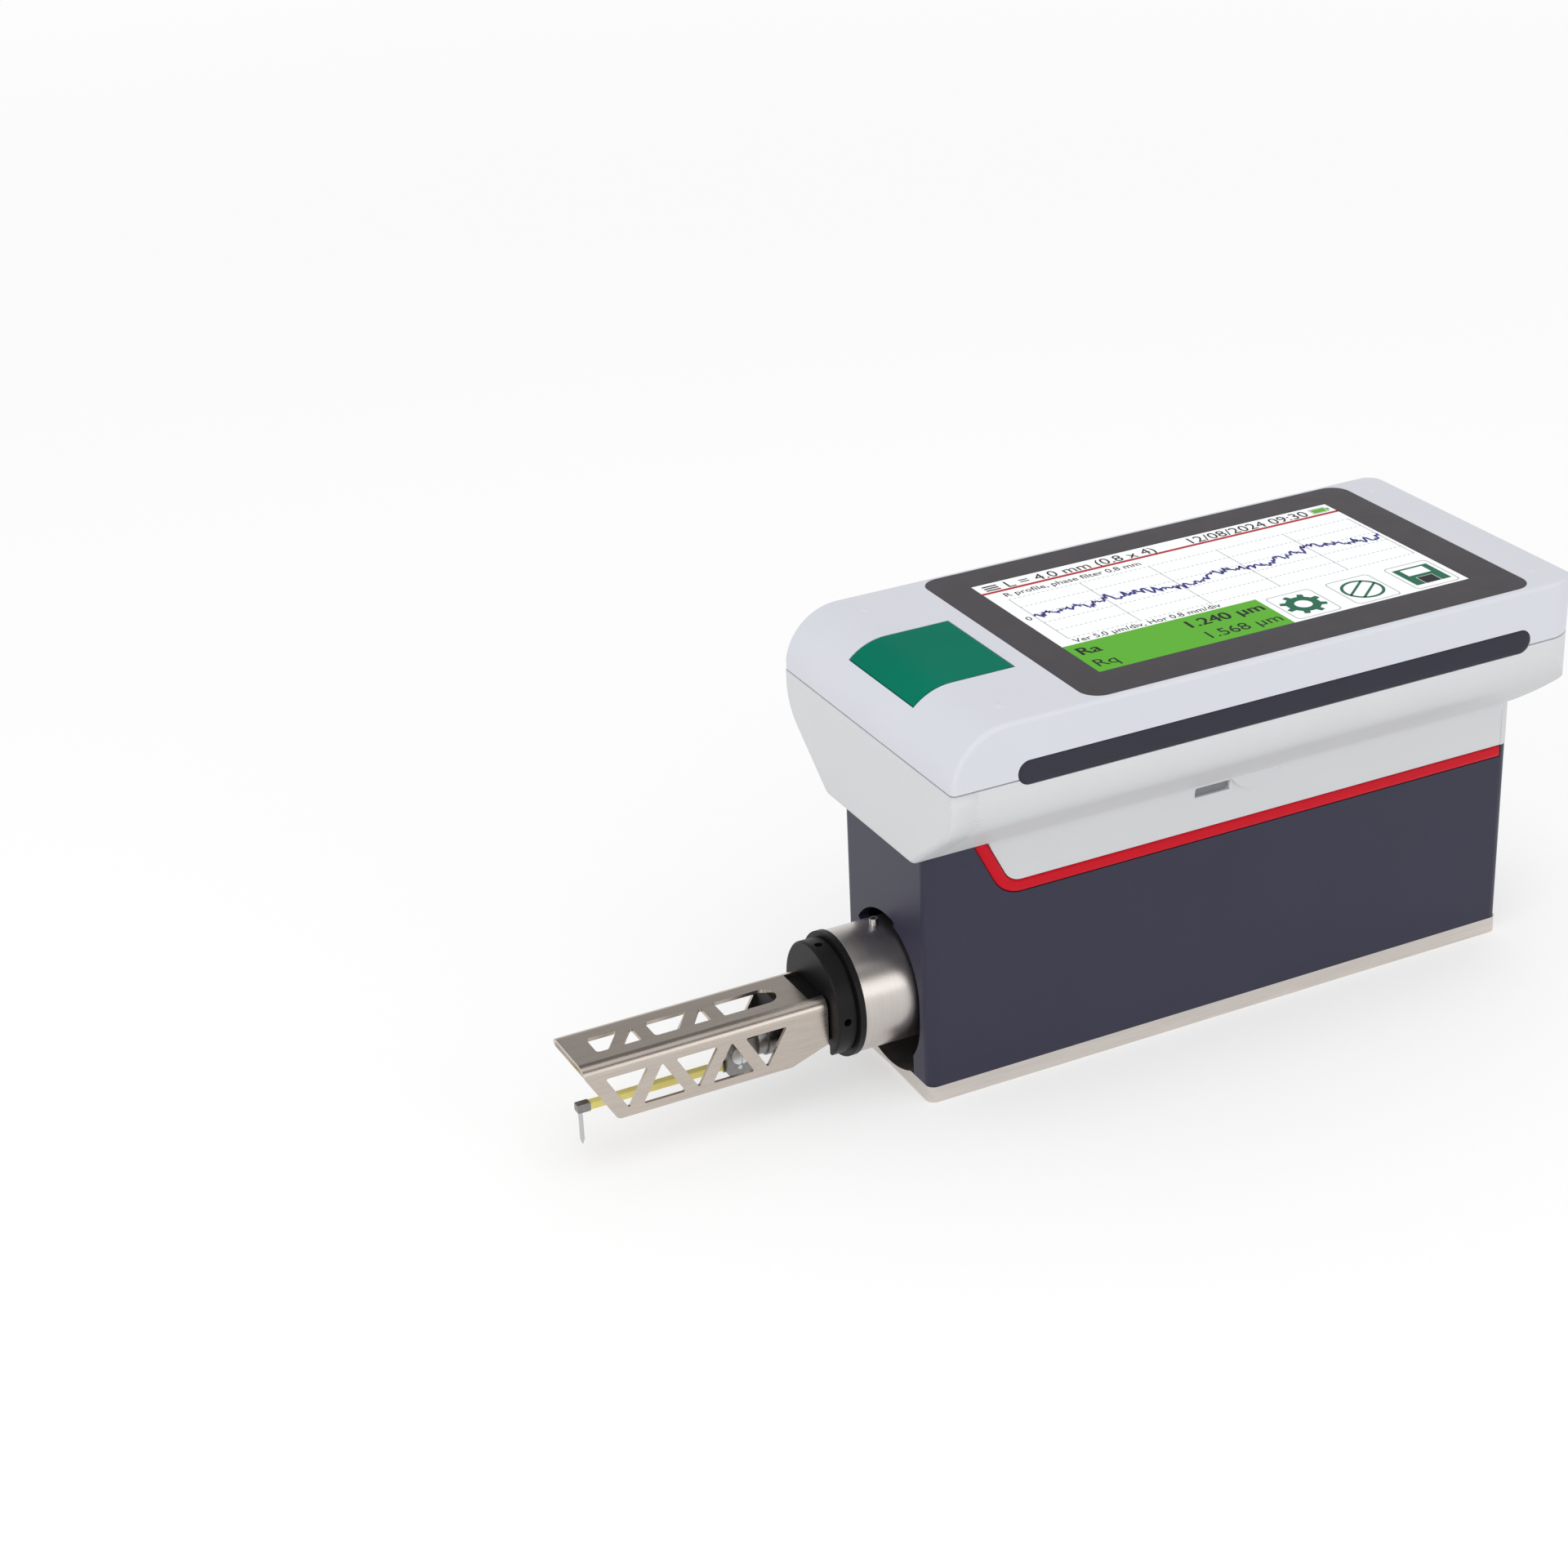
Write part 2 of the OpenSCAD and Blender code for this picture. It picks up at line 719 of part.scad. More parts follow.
// Section of the hollow between the flank and a skirt
module skirt_hollow() {
    corner = [case_hw, flank_z(case_hw, 0)];
    along = [cos(flank_a), sin(flank_a)];
    half = (90 + flank_a) / 2;
    reach = skirt_fillet / tan(half);
    middle = corner + unit(along + [0, -1]) * skirt_fillet / sin(half);
    difference() {
        polygon([corner + [0, -reach], middle, corner + along * reach, corner + [0, skirt_t],
                 corner + [-skirt_t / 2, 0], corner + [-skirt_t / 2, -reach]]);
        translate(middle)
            circle(skirt_fillet + lap);
    }
}

// Side view of the catch: an arc below the top of the drive case
module catch_outline() {
    arc_r = (catch_len * catch_len / 4 + catch_h * catch_h) / (2 * catch_h);
    intersection() {
        translate([catch_x, case_top - catch_h + arc_r])
            circle(arc_r);
        translate([catch_x - catch_len, case_top - catch_h - over])
            square([2 * catch_len, catch_h + over]);
    }
}

module strip_outline(margin)
    soft_box([strip_x0 - margin, strip_z - strip_end_r - margin],
             [strip_x1 + margin, strip_z + strip_end_r + margin], strip_end_r + margin - round_flat);

module strip_seats()
    both_sides()
        along_y(house_hw - strip_seat, house_hw + over) strip_outline(seat_gap);

module screen_box(margin, z0, z1)
    block([screen_x0 - margin, screen_y0 - margin, z0], [screen_x1 + margin, screen_y1 + margin, z1]);

module lens_outline(margin)
    soft_box([lens_x0 - margin, -lens_hw - margin], [lens_x1 + margin, lens_hw + margin], lens_r + margin);

module top_cover() color("#d5d7e0") placed() {
    difference() {
        cover_form(0);
        cover_form(shell_t);
        along_z(top_z - lens_t, top_z + over) lens_outline(seat_gap);
        screen_box(2 * seat_gap, ceiling_z - over, top_z);
        block([button_x0 - button_gap, -button_hw - button_gap, seam_z + over],
              [button_x1 + button_gap, button_hw + button_gap, top_z + over]);
        strip_seats();
    }
    for (x = [house_x0 + cover_h + bump_d, house_x1 - rear_corner_r])
        both_sides()
            translate([x, house_hw - rear_corner_r, top_z])
                intersection() {
                    translate([0, 0, -bump_d])
                        sphere(norm([bump_d / 2, bump_d]));
                    block([-bump_d, -bump_d, -shell_t / 2], [bump_d, bump_d, bump_d]);
                }
}

module lower_housing() color("#d4d7d7") placed() {
    difference() {
        tub_form(0);
        difference() {
            tub_form(shell_t);
            for (x = boss_xs)
                both_sides()
                    bar_z(x, boss_y, case_top, board_z0, boss_r);
        }
        for (x = boss_xs)
            both_sides()
                bar_z(x, boss_y, board_z0 - board_screw_depth, board_z0 + over, board_screw_r + run_gap);
        for (x = housing_screw_xs)
            both_sides()
                bar_z(x, housing_screw_y, case_top - over, floor_z + over, housing_screw_r + run_gap);
        strip_seats();
        along_z(seam_z - seam_gap, seam_z + over)
            difference() {
                housing_plan(-over);
                housing_plan(seam_depth);
            }
        bar_x(house_x1 - 2 * shell_t, house_x1 + over, socket_y, charge_z, charge_r + seat_gap);
        block([house_x1 - 2 * shell_t, -socket_y - data_hw - seat_gap, board_z1 - seat_gap],
              [house_x1 + over, -socket_y + data_hw + seat_gap, board_z1 + data_h + seat_gap]);
    }
    difference() {
        both_sides() {
            along_y(case_hw - skirt_t, case_hw) skirt_outline(0, 0);
            intersection() {
                along_x(0, skirt_x1) skirt_hollow();
                along_y(0, house_hw) skirt_outline(-seat_gap, skirt_fillet);
            }
        }
        block([catch_x - catch_len / 2 - catch_slot_len, -case_hw - 2 * catch_proud,
               catch_slot_z1 - catch_slot_h],
              [catch_x - catch_len / 2, -case_hw + catch_proud, catch_slot_z1]);
    }
    along_y(-case_hw - catch_proud, -case_hw + skirt_t) catch_outline();
}

module display_lens() color("#4c474d") placed()
    difference() {
        along_z(top_z - lens_t, top_z) lens_outline(0);
        screen_box(seat_gap, top_z - lens_t - over, top_z + over);
    }

module lcd_module() color("#e9eef2") placed() {
    block([screen_x0 - lcd_margin[0], screen_y0 - lcd_margin[1], ceiling_z - lcd_t],
          [screen_x1 + lcd_margin[0], screen_y1 + lcd_margin[1], ceiling_z]);
    screen_box(0, ceiling_z - over, top_z - glass_drop);
}

module start_button() color("#0b7a5e") placed() {
    difference() {
        intersection() {
            cover_form(0);
            block([button_x0, -button_hw, seam_z], [button_x1, button_hw, top_z]);
        }
        cover_form(shell_t);
    }
    block([lip_x0, -button_hw, lip_z1 - lip_t], [button_x1, button_hw, ceiling_z + shell_t / 2]);
    block([lip_x0, -button_hw - lip_w, lip_z1 - lip_t], [button_x1 + lip_w, button_hw + lip_w, lip_z1]);
    bar_z(stem_x, 0, stem_z0, ceiling_z, stem_r);
}

module start_switch() color("#2a2a2c") placed() {
    block([stem_x - switch_hw, -switch_hw, board_z1], [stem_x + switch_hw, switch_hw, board_z1 + switch_h]);
    bar_z(stem_x, 0, board_z1, plunger_z1, plunger_r);
}

module grip_strip() along_y(house_hw - strip_seat, house_hw + strip_proud) strip_outline(0);
module grip_strip_left() color("#3a3b4a") placed() mirror([0, 1, 0]) grip_strip();
module grip_strip_right() color("#3a3b4a") placed() grip_strip();

module trim()
    along_y(case_hw - skirt_t, case_hw + trim_proud)
        difference() {
            skirt_outline(trim_w, 0);
            skirt_outline(seat_gap, over);
        }
module trim_left() color("#cc1527") placed() mirror([0, 1, 0]) trim();
module trim_right() color("#cc1527") placed() trim();

module main_board() color("#1f6b45") placed()
    difference() {
        along_z(board_z0, board_z1) soft_box([board_x0, -board_hw], [board_x1, board_hw], boss_r);
        for (x = boss_xs)
            both_sides()
                bar_z(x, boss_y, board_z0 - over, board_z1 + over, board_screw_r + run_gap);
    }

module board_screws() color("#b9bcc0") placed()
    for (x = boss_xs)
        both_sides() {
            bar_z(x, boss_y, board_z1, board_z1 + board_head_t, board_head_r);
            bar_z(x, boss_y, board_z0 - board_screw_depth + over, board_z1, board_screw_r);
        }

module battery_pack() color("#3f6fa8") placed()
    along_x(battery_x0, battery_x0 + battery_len)
        soft_box([-battery_hw, floor_z], [battery_hw, floor_z + battery_h], battery_r);

module charge_socket() color("#2a2a2c") placed()
    difference() {
        union() {
            bar_x(socket_x0, socket_x1, socket_y, charge_z, charge_r);
            block([socket_x0, socket_y - charge_r, board_z1], [board_x1, socket_y + charge_r, charge_z]);
        }
        bar_x(board_x1 - over, socket_x1 + over, socket_y, charge_z, charge_hole_r);
    }

module data_socket() color("#b9bcc0") placed()
    difference() {
        block([socket_x0, -socket_y - data_hw, board_z1],
              [socket_x1, -socket_y + data_hw, board_z1 + data_h]);
        block([socket_x0 + over, -socket_y - data_hw + socket_t, board_z1 + socket_t],
              [socket_x1 + over, -socket_y + data_hw - socket_t, board_z1 + data_h - socket_t]);
    }

module housing_screws() color("#8f9296") placed()
    for (x = housing_screw_xs)
        both_sides() {
            bar_z(x, housing_screw_y, floor_z, floor_z + housing_head_t, housing_head_r);
            bar_z(x, housing_screw_y, case_ceiling, floor_z, housing_screw_r);
        }

module case_plan(inset)
    soft_box([inset, inset - case_hw], [case_len - inset, case_hw - inset], max(case_r - inset, seat_gap));

// Mouth of the drive case: an arch that follows the tube as it is lowered, open down to
// the base plate, with a shallow notch that lets the clamp screw pass
module mouth_outline() {
    for (z = [axis_h, axis_h - lift])
        translate([0, z])
            circle(mouth_r);
    translate([-mouth_r, axis_h - lift])
        square([2 * mouth_r, lift]);
    translate([-mouth_w / 2, plate_t - over])
        square([mouth_w, axis_h - lift - plate_t + over]);
    translate([0, axis_h])
        intersection() {
            circle(notch_r);
            polygon([[0, 0], 2 * notch_r * [cos(notch_from), sin(notch_from)],
                     2 * notch_r * [cos(notch_to), sin(notch_to)]]);
        }
}

module drive_case() color("#434251") placed()
    difference() {
        along_z(plate_t, case_top) case_plan(0);
        difference() {
            along_z(plate_t - over, case_ceiling) case_plan(case_t);
            for (x = base_screw_xs)
                both_sides()
                    block([x - base_boss_len / 2 - over, inner_hw - base_boss_w, plate_t],
                          [x + base_boss_len / 2 + over, case_hw, plate_t + base_boss_h]);
            for (y = standoff_ys, z = standoff_zs)
                bar_x(drive_board_x1, case_len, y, z, standoff_r);
        }
        along_x(-over, case_t + over) mouth_outline();
        both_sides()
            along_y(case_hw - skirt_t - seat_gap, case_hw + over) skirt_outline(trim_w + seat_gap, seat_gap);
        for (x = base_screw_xs)
            both_sides()
                bar_z(x, base_screw_y, plate_t - over, base_screw_z1, base_screw_r + run_gap);
        for (x = housing_screw_xs)
            both_sides()
                bar_z(x, housing_screw_y, case_ceiling - over, case_top + over, housing_screw_r + run_gap);
        for (y = standoff_ys, z = standoff_zs)
            bar_x(drive_board_x1 - over, case_len - case_t, y, z, board_screw_r + run_gap);
    }

module base_plate() color("#b4b0aa") placed()
    difference() {
        along_z(0, plate_t) soft_box([0, -case_hw], [case_len, case_hw], plate_r);
        along_x(-over, case_len + over)
            polygon([[land_w - case_hw, 0], [0, vee_h], [case_hw - land_w, 0], [0, -over]]);
        bar_x(-over, tube_x1 + travel + end_gap, 0, axis_h, tube_r + lift + channel_gap);
        for (x = base_screw_xs)
            both_sides() {
                bar_z(x, base_screw_y, -over, plate_t + over, base_screw_r + run_gap);
                bar_z(x, base_screw_y, -over, base_head_z, base_head_r + seat_gap);
            }
    }

module base_screws() color("#8f9296") placed()
    for (x = base_screw_xs)
        both_sides() {
            difference() {
                bar_z(x, base_screw_y, base_head_z - base_head_t, base_head_z, base_head_r);
                translate([x, base_screw_y, base_head_z - base_head_t - over])
                    cylinder(h = base_key_depth + over, d = base_key_d, $fn = 6);
            }
            bar_z(x, base_screw_y, base_head_z, base_screw_z1 - over, base_screw_r);
        }

module drive_board() color("#1f6b45") placed()
    difference() {
        along_x(drive_board_x0, drive_board_x1)
            soft_box([-frame_hw, drive_board_z0], [frame_hw, drive_board_z1], drive_board_r);
        for (y = standoff_ys, z = standoff_zs)
            bar_x(drive_board_x0 - over, drive_board_x1 + over, y, z, board_screw_r + run_gap);
    }

module drive_board_screws() color("#b9bcc0") placed()
    for (y = standoff_ys, z = standoff_zs) {
        bar_x(drive_board_x0 - board_head_t, drive_board_x0, y, z, board_head_r);
        bar_x(drive_board_x0, case_len - case_t - over, y, z, board_screw_r);
    }

module lift_posts() color("#b9bcc0") placed()
    both_sides()
        bar_z(post_x, post_y, plate_t, case_ceiling, post_r);

module lift_motor() color("#8f9296") placed()
    difference() {
        union() {
            bar_z(lift_x, 0, plate_t, lift_collar_z, motor_r);
            along_z(lift_collar_z - lift_flange_t, lift_collar_z)
                soft_box([lift_x - motor_r, -lift_flange_hw], [lift_x + motor_r, lift_flange_hw],
                         lift_flange_r);
            bar_z(lift_x, 0, lift_collar_z, lift_motor_z1, motor_r / 2);
        }
        bar_z(lift_x, 0, lift_seat_z, lift_motor_z1 + over, spindle_r + run_gap);
    }

module lift_screw() color("#c9c2b4") placed()
    bar_z(lift_x, 0, lift_seat_z + run_gap, lift_screw_z1, spindle_r);

// One machined bridge: front plate, spine, rear block on the posts, and shelf for the nut
module lift_frame() color("#a9adb2") placed()
    difference() {
        union() {
            along_x(front_x0, front_x1)
                soft_box([-carriage_hw, front_z0], [carriage_hw, spine_z1], carriage_r);
            block([front_x0, -spine_hw, spine_z0], [rear_x1, spine_hw, spine_z1]);
            block([rear_x0, -frame_hw, shelf_z0], [rear_x1, frame_hw, spine_z1]);
            along_z(shelf_z0, shelf_z1) soft_box([rear_x0, -shelf_hw], [shelf_x1, shelf_hw], shelf_r);
        }
        both_sides() {
            bar_x(front_x0 - over, rod_x1, rod_axis_y, rod_axis_z, rod_r);
            bar_z(post_x, post_y, shelf_z0 - over, spine_z1 + over, post_r + run_gap);
        }
        bar_x(lead_x0, front_x1 + over, 0, rod_axis_z, bearing_r);
        bar_x(rear_x0 - over, rear_x0 + bearing_t, 0, rod_axis_z, bearing_r);
        bar_x(rear_x0, rear_x1 + over, 0, rod_axis_z, spindle_r + clear_gap);
        bar_z(lift_x, 0, shelf_z0 - over, shelf_z1 + over, nut_r);
    }

module lift_nut() color("#b08d4a") placed()
    difference() {
        union() {
            bar_z(lift_x, 0, shelf_z0, shelf_z1, nut_r);
            bar_z(lift_x, 0, shelf_z1, shelf_z1 + nut_flange_t, nut_flange_r);
        }
        bar_z(lift_x, 0, shelf_z0 - over, lift_screw_z1, spindle_r + run_gap);
    }

module guide_rods() color("#c4c6c9") placed()
    both_sides()
        bar_x(front_x0, rod_x1, rod_axis_y, rod_axis_z, rod_r);

module screw_bearings() color("#9a9da1") placed()
    for (x = [lead_x0, rear_x0])
        difference() {
            bar_x(x, x + bearing_t, 0, rod_axis_z, bearing_r);
            bar_x(x - over, x + bearing_t + over, 0, rod_axis_z, spindle_r + run_gap);
        }

module traverse_motor() color("#8f9296") placed()
    difference() {
        union() {
            bar_x(rear_x1, motor_x1, 0, rod_axis_z, motor_r);
            bar_x(motor_x1, motor_x1 + over, 0, rod_axis_z, motor_r / 2);
        }
        bar_x(rear_x1 - over, lead_x1 + over, 0, rod_axis_z, spindle_r + run_gap);
    }

module lead_screw() color("#c9c2b4") placed()
    bar_x(lead_x0 + run_gap, lead_x1, 0, rod_axis_z, spindle_r);

// Saddle on the tube that runs on the two guide rods
module carriage() color("#a9adb2") placed()
    difference() {
        along_x(carriage_x0, carriage_x1)
            soft_box([-carriage_hw, carriage_z0], [carriage_hw, carriage_z1], carriage_r);
        bar_x(carriage_x0 - over, carriage_x1 + over, 0, axis_h, tube_r);
        bar_x(carriage_x0 - over, carriage_x1 + over, 0, rod_axis_z, nut_r);
        both_sides() {
            bar_x(carriage_x0, carriage_x1, rod_axis_y, rod_axis_z, rod_r + clear_gap);
            bar_x(carriage_x0 - over, carriage_x0 + bush_len, rod_axis_y, rod_axis_z, bush_r);
            bar_x(carriage_x1 - bush_len, carriage_x1 + over, rod_axis_y, rod_axis_z, bush_r);
        }
    }

module rod_bushes() color("#b08d4a") placed()
    for (x = [carriage_x0, carriage_x1 - bush_len])
        both_sides()
            difference() {
                bar_x(x, x + bush_len, rod_axis_y, rod_axis_z, bush_r);
                bar_x(x - over, x + bush_len + over, rod_axis_y, rod_axis_z, rod_r + run_gap);
            }

module lead_nut() color("#b08d4a") placed()
    difference() {
        bar_x(carriage_x0, carriage_x1, 0, rod_axis_z, nut_r);
        bar_x(carriage_x0 - over, carriage_x1 + over, 0, rod_axis_z, spindle_r + run_gap);
    }

// Frame of the clamp screw: Z points out of the tube
module at_clamp() translate([clamp_x, 0, axis_h]) rotate([clamp_a - 90, 0, 0]) children();

module pickup_tube() color("#b7b1ab") placed()
    difference() {
        bar_x(tube_x0, tube_x1, 0, axis_h, tube_r);
        bar_x(tube_x0 - over, tube_x1 + over, 0, axis_h, tube_r - tube_t);
        at_clamp() cylinder(h = 2 * tube_r, r = clamp_r + run_gap);
    }

module clamp_screw() color("#c9cacb") placed()
    at_clamp()
        difference() {
            bar_z(0, 0, spigot_r, tube_r + clamp_rise, clamp_r);
            translate([0, 0, tube_r])
                cylinder(h = 2 * clamp_rise, d = clamp_key_d, $fn = 6);
        }

module end_cap() color("#2a2a2c") placed()
    difference() {
        union() {
            translate([cap_x, 0, axis_h])
                rotate([0, 90, 0])
                    cylinder(h = cap_edge, r1 = head_r - cap_edge, r2 = head_r);
            bar_x(cap_x + cap_edge, groove_x0, 0, axis_h, head_r);
            bar_x(groove_x0, flange_x0, 0, axis_h, groove_r);
            bar_x(flange_x0, tube_x0, 0, axis_h, flange_r);
            bar_x(tube_x0, spigot_x1, 0, axis_h, spigot_r);
        }
        bar_x(tube_x0, spigot_x1 + over, 0, axis_h, spigot_r - tube_t);
        block([cap_x - over, -guard_in - seat_gap, axis_h - 2 * head_r],
              [groove_x0, guard_in + seat_gap, guard_in_z + seat_gap]);
        bar_z(set_hole_x, 0, axis_h + head_r - set_hole_depth, axis_h + head_r + over, set_hole_r);
        bar_y(set_hole_x, -head_r - over, -head_r + set_hole_depth, axis_h, set_hole_r);
    }

module pickup_block() color("#303036") placed()
    along_x(block_x0, groove_x0)
        outline([[-guard_in, block_z0], [guard_in, block_z0],
                 [guard_in, guard_in_z], [-guard_in, guard_in_z]],
                [guard_edge_r, guard_edge_r, guard_in_r + seat_gap, guard_in_r + seat_gap]);

module pickup_barrel() color("#8c8a88") placed() {
    bar_x(barrel_x0, block_x0, 0, barrel_z, barrel_r);
    bar_x(ring_x0, ring_x0 + ring_t, 0, barrel_z, ring_r);
}

// Side view of the guard, with its raked front and its raised heel
module guard_side()
    outline([[guard_x0 + lip_lean, guard_z1 - lip_h], [guard_x0 + toe_run, guard_z0],
             [guard_x1 - heel_run, guard_z0], [guard_x1, guard_z0 + heel_rise],
             [guard_x1, guard_z1], [guard_x0, guard_z1]],
            [guard_edge_r, guard_toe_r, guard_toe_r, guard_edge_r, 0, 0]);

// Section of the folded sheet, drawn in from its outside and open below
module guard_section(inset)
    outline([[inset - guard_hw, guard_z0 - over - inset], [guard_hw - inset, guard_z0 - over - inset],
             [guard_hw - inset, guard_z1 - inset], [inset - guard_hw, guard_z1 - inset]],
            [0, 0, guard_bend - inset, guard_bend - inset]);

module hanging_cut(x)
    outline([[x, truss_z0], [x + truss_half, truss_z1], [x - truss_half, truss_z1]], [cut_r, cut_r, cut_r]);

module standing_cut(x)
    outline([[x - truss_half, truss_z0], [x + truss_half, truss_z0], [x, truss_z1]], [cut_r, cut_r, cut_r]);

// Four-sided cut in the guard's top, square at the front and raked at the rear
module raked_cut(x0, x1)
    outline([[x0, -top_cut_y], [x1 - top_lean, -top_cut_y], [x1, top_cut_y], [x0, top_cut_y]],
            [top_cut_r, top_cut_r, cut_r, top_cut_r]);

// Cuts in the guard's top: raked ones, the triangles behind them and a round-ended one
module top_cuts() {
    last_x = top_strut_x + truss_pitch + strut_w / 2;
    round_r = top_cut_y - round_flat;
    raked_cut(top_cut_x0, top_strut_x - 1.5 * strut_w);
    raked_cut(top_strut_x + strut_w / 2, top_strut_x + truss_pitch - 1.5 * strut_w);
    for (k = [0:1])
        translate([top_strut_x + k * truss_pitch - strut_w / 2, 0])
            outline([[-top_lean, -top_cut_y], [0, -top_cut_y], [0, top_cut_y]], [cut_r, cut_r, cut_r]);
    outline([[last_x, -top_cut_y], [top_cut_x1, -top_cut_y], [top_cut_x1, top_cut_y], [last_x, top_cut_y]],
            [cut_r, round_r, round_r, cut_r]);
}

module probe_guard() color("#c2bcb8") placed()
    difference() {
        intersection() {
            along_y(-guard_hw - over, guard_hw + over) guard_side();
            along_x(guard_x0 - over, guard_x1 + over)
                difference() {
                    guard_section(0);
                    guard_section(guard_t);
                }
        }
        along_y(-guard_hw - over, guard_hw + over) {
            for (k = [0:2])
                hanging_cut(truss_x0 + k * truss_pitch);
            for (k = [0:1])
                standing_cut(truss_x0 + (k + 0.5) * truss_pitch);
        }
        along_z(guard_in_z - over, guard_z1 + over) top_cuts();
        block([guard_x1 - tail_cut, guard_bend - guard_hw, guard_in_z - over],
              [guard_x1 + over, guard_hw - guard_bend, guard_z1 + over]);
    }

module arm_holder() color("#8c8a88") placed()
    difference() {
        along_y(-holder_hw, holder_hw)
            outline([[holder_x0, holder_z0], [barrel_x0, holder_z0],
                     [barrel_x0, holder_z1], [holder_x0, holder_z1]],
                    [holder_r, holder_r, 0, holder_r]);
        block([holder_x0 - over, -cheek_in, holder_z0 - over], [holder_slot_x1, cheek_in, holder_slot_z1]);
        bar_y(pivot_x, -holder_hw - over, holder_hw + over, pivot_z, pivot_d / 2);
        bar_y(pivot_x, -holder_hw - over, 0, holder_screw_z, holder_shank_r + run_gap);
    }

module holder_screw() color("#c9cacb") placed()
    translate([pivot_x, -holder_hw, holder_screw_z])
        difference() {
            union() {
                bar_y(0, -holder_screw_t, 0, 0, holder_screw_r);
                bar_y(0, 0, holder_hw - run_gap, 0, holder_shank_r);
            }
            block([-driver_slot_w / 2, -2 * holder_screw_t, -2 * holder_screw_r],
                  [driver_slot_w / 2, -holder_screw_t / 2, 2 * holder_screw_r]);
        }

module pivot_pin() color("#c9cacb") placed()
    bar_y(pivot_x, -holder_hw, holder_hw, pivot_z, pivot_d / 2);

module arm_hub() color("#8f9296") placed()
    difference() {
        union() {
            bar_y(pivot_x, -eye_w / 2, eye_w / 2, pivot_z, eye_r);
            block([hub_x0, -eye_w / 2, pivot_z - hub_h / 2], [pivot_x, eye_w / 2, pivot_z + hub_h / 2]);
        }
        bar_y(pivot_x, -eye_w, eye_w, pivot_z, pivot_d / 2 + run_gap);
    }

module probe_arm() color("#e6d867") placed()
    along_x(jaw_x1, hub_x0)
        soft_box([-arm_h / 2, pivot_z - arm_h / 2], [arm_h / 2, pivot_z + arm_h / 2], arm_r);

module stylus_clamp() color("#6a6a6c") placed()
    difference() {
        along_y(-jaw_hw, jaw_hw)
            soft_box([jaw_x0, pivot_z - jaw_h / 2], [jaw_x1, pivot_z + jaw_h / 2], arm_r);
        bar_z(stylus_x, 0, pivot_z - jaw_h, pivot_z + jaw_h, stylus_d / 2);
    }

module stylus() color("#c9cacb") placed() {
    bar_z(stylus_x, 0, stylus_z0 + stylus_tip_h, pivot_z + jaw_h / 2, stylus_d / 2);
    translate([stylus_x, 0, stylus_z0])
        cylinder(h = stylus_tip_h, r1 = stylus_tip_r, r2 = stylus_d / 2);
}

top_cover();
lower_housing();
display_lens();
lcd_module();
start_button();
start_switch();
grip_strip_left();
grip_strip_right();
trim_left();
trim_right();
main_board();
board_screws();
battery_pack();
charge_socket();
data_socket();
housing_screws();
drive_case();
base_plate();
base_screws();
drive_board();
drive_board_screws();
lift_posts();
lift_motor();
lift_screw();
lift_frame();
lift_nut();
guide_rods();
screw_bearings();
traverse_motor();
lead_screw();
carriage();
rod_bushes();
lead_nut();
pickup_tube();
clamp_screw();
end_cap();
pickup_block();
pickup_barrel();
probe_guard();
arm_holder();
holder_screw();
pivot_pin();
arm_hub();
probe_arm();
stylus_clamp();
stylus();
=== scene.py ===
import json
import math
import random

import bmesh
import bpy
from mathutils import Matrix, Vector


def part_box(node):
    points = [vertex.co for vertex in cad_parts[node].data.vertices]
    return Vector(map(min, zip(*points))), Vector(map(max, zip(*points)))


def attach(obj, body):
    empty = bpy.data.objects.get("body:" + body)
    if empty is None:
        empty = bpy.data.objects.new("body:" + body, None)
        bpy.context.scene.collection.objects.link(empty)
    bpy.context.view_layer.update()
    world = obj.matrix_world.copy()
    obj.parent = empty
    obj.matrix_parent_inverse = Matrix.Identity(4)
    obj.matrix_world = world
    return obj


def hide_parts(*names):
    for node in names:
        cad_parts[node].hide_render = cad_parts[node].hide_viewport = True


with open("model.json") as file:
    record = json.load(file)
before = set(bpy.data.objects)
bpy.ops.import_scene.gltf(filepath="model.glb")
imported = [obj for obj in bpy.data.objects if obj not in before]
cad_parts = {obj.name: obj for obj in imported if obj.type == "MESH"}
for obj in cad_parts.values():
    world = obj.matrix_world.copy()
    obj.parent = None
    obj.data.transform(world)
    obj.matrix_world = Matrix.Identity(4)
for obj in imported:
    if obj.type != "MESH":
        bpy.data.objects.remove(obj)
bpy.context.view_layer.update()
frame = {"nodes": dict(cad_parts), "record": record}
nodes = frame["nodes"]
mm = 0.001
print("frame loaded:", len(nodes), "nodes")


def hexColour(code):
    channels = [int(code[i:i + 2], 16) / 255 for i in (1, 3, 5)]
    return [c / 12.92 if c <= 0.04045 else ((c + 0.055) / 1.055) ** 2.4 for c in channels] + [1.0]


# adds one node: links holds sockets to join or values to set, settings are the node's own options
def put(tree, kind, links=None, **settings):
    node = tree.nodes.new(kind)
    for name, value in settings.items():
        setattr(node, name, value)
    for name, value in (links or {}).items():
        if isinstance(value, bpy.types.NodeSocket):
            tree.links.new(value, node.inputs[name])
        else:
            node.inputs[name].default_value = value
    return node


# an empty material, its tree and the coordinates of the piece that wears it
def startMaterial(name):
    material = bpy.data.materials.new(name)
    material.use_nodes = True
    tree = material.node_tree
    tree.nodes.clear()
    return material, tree, put(tree, "ShaderNodeTexCoord").outputs["Object"]


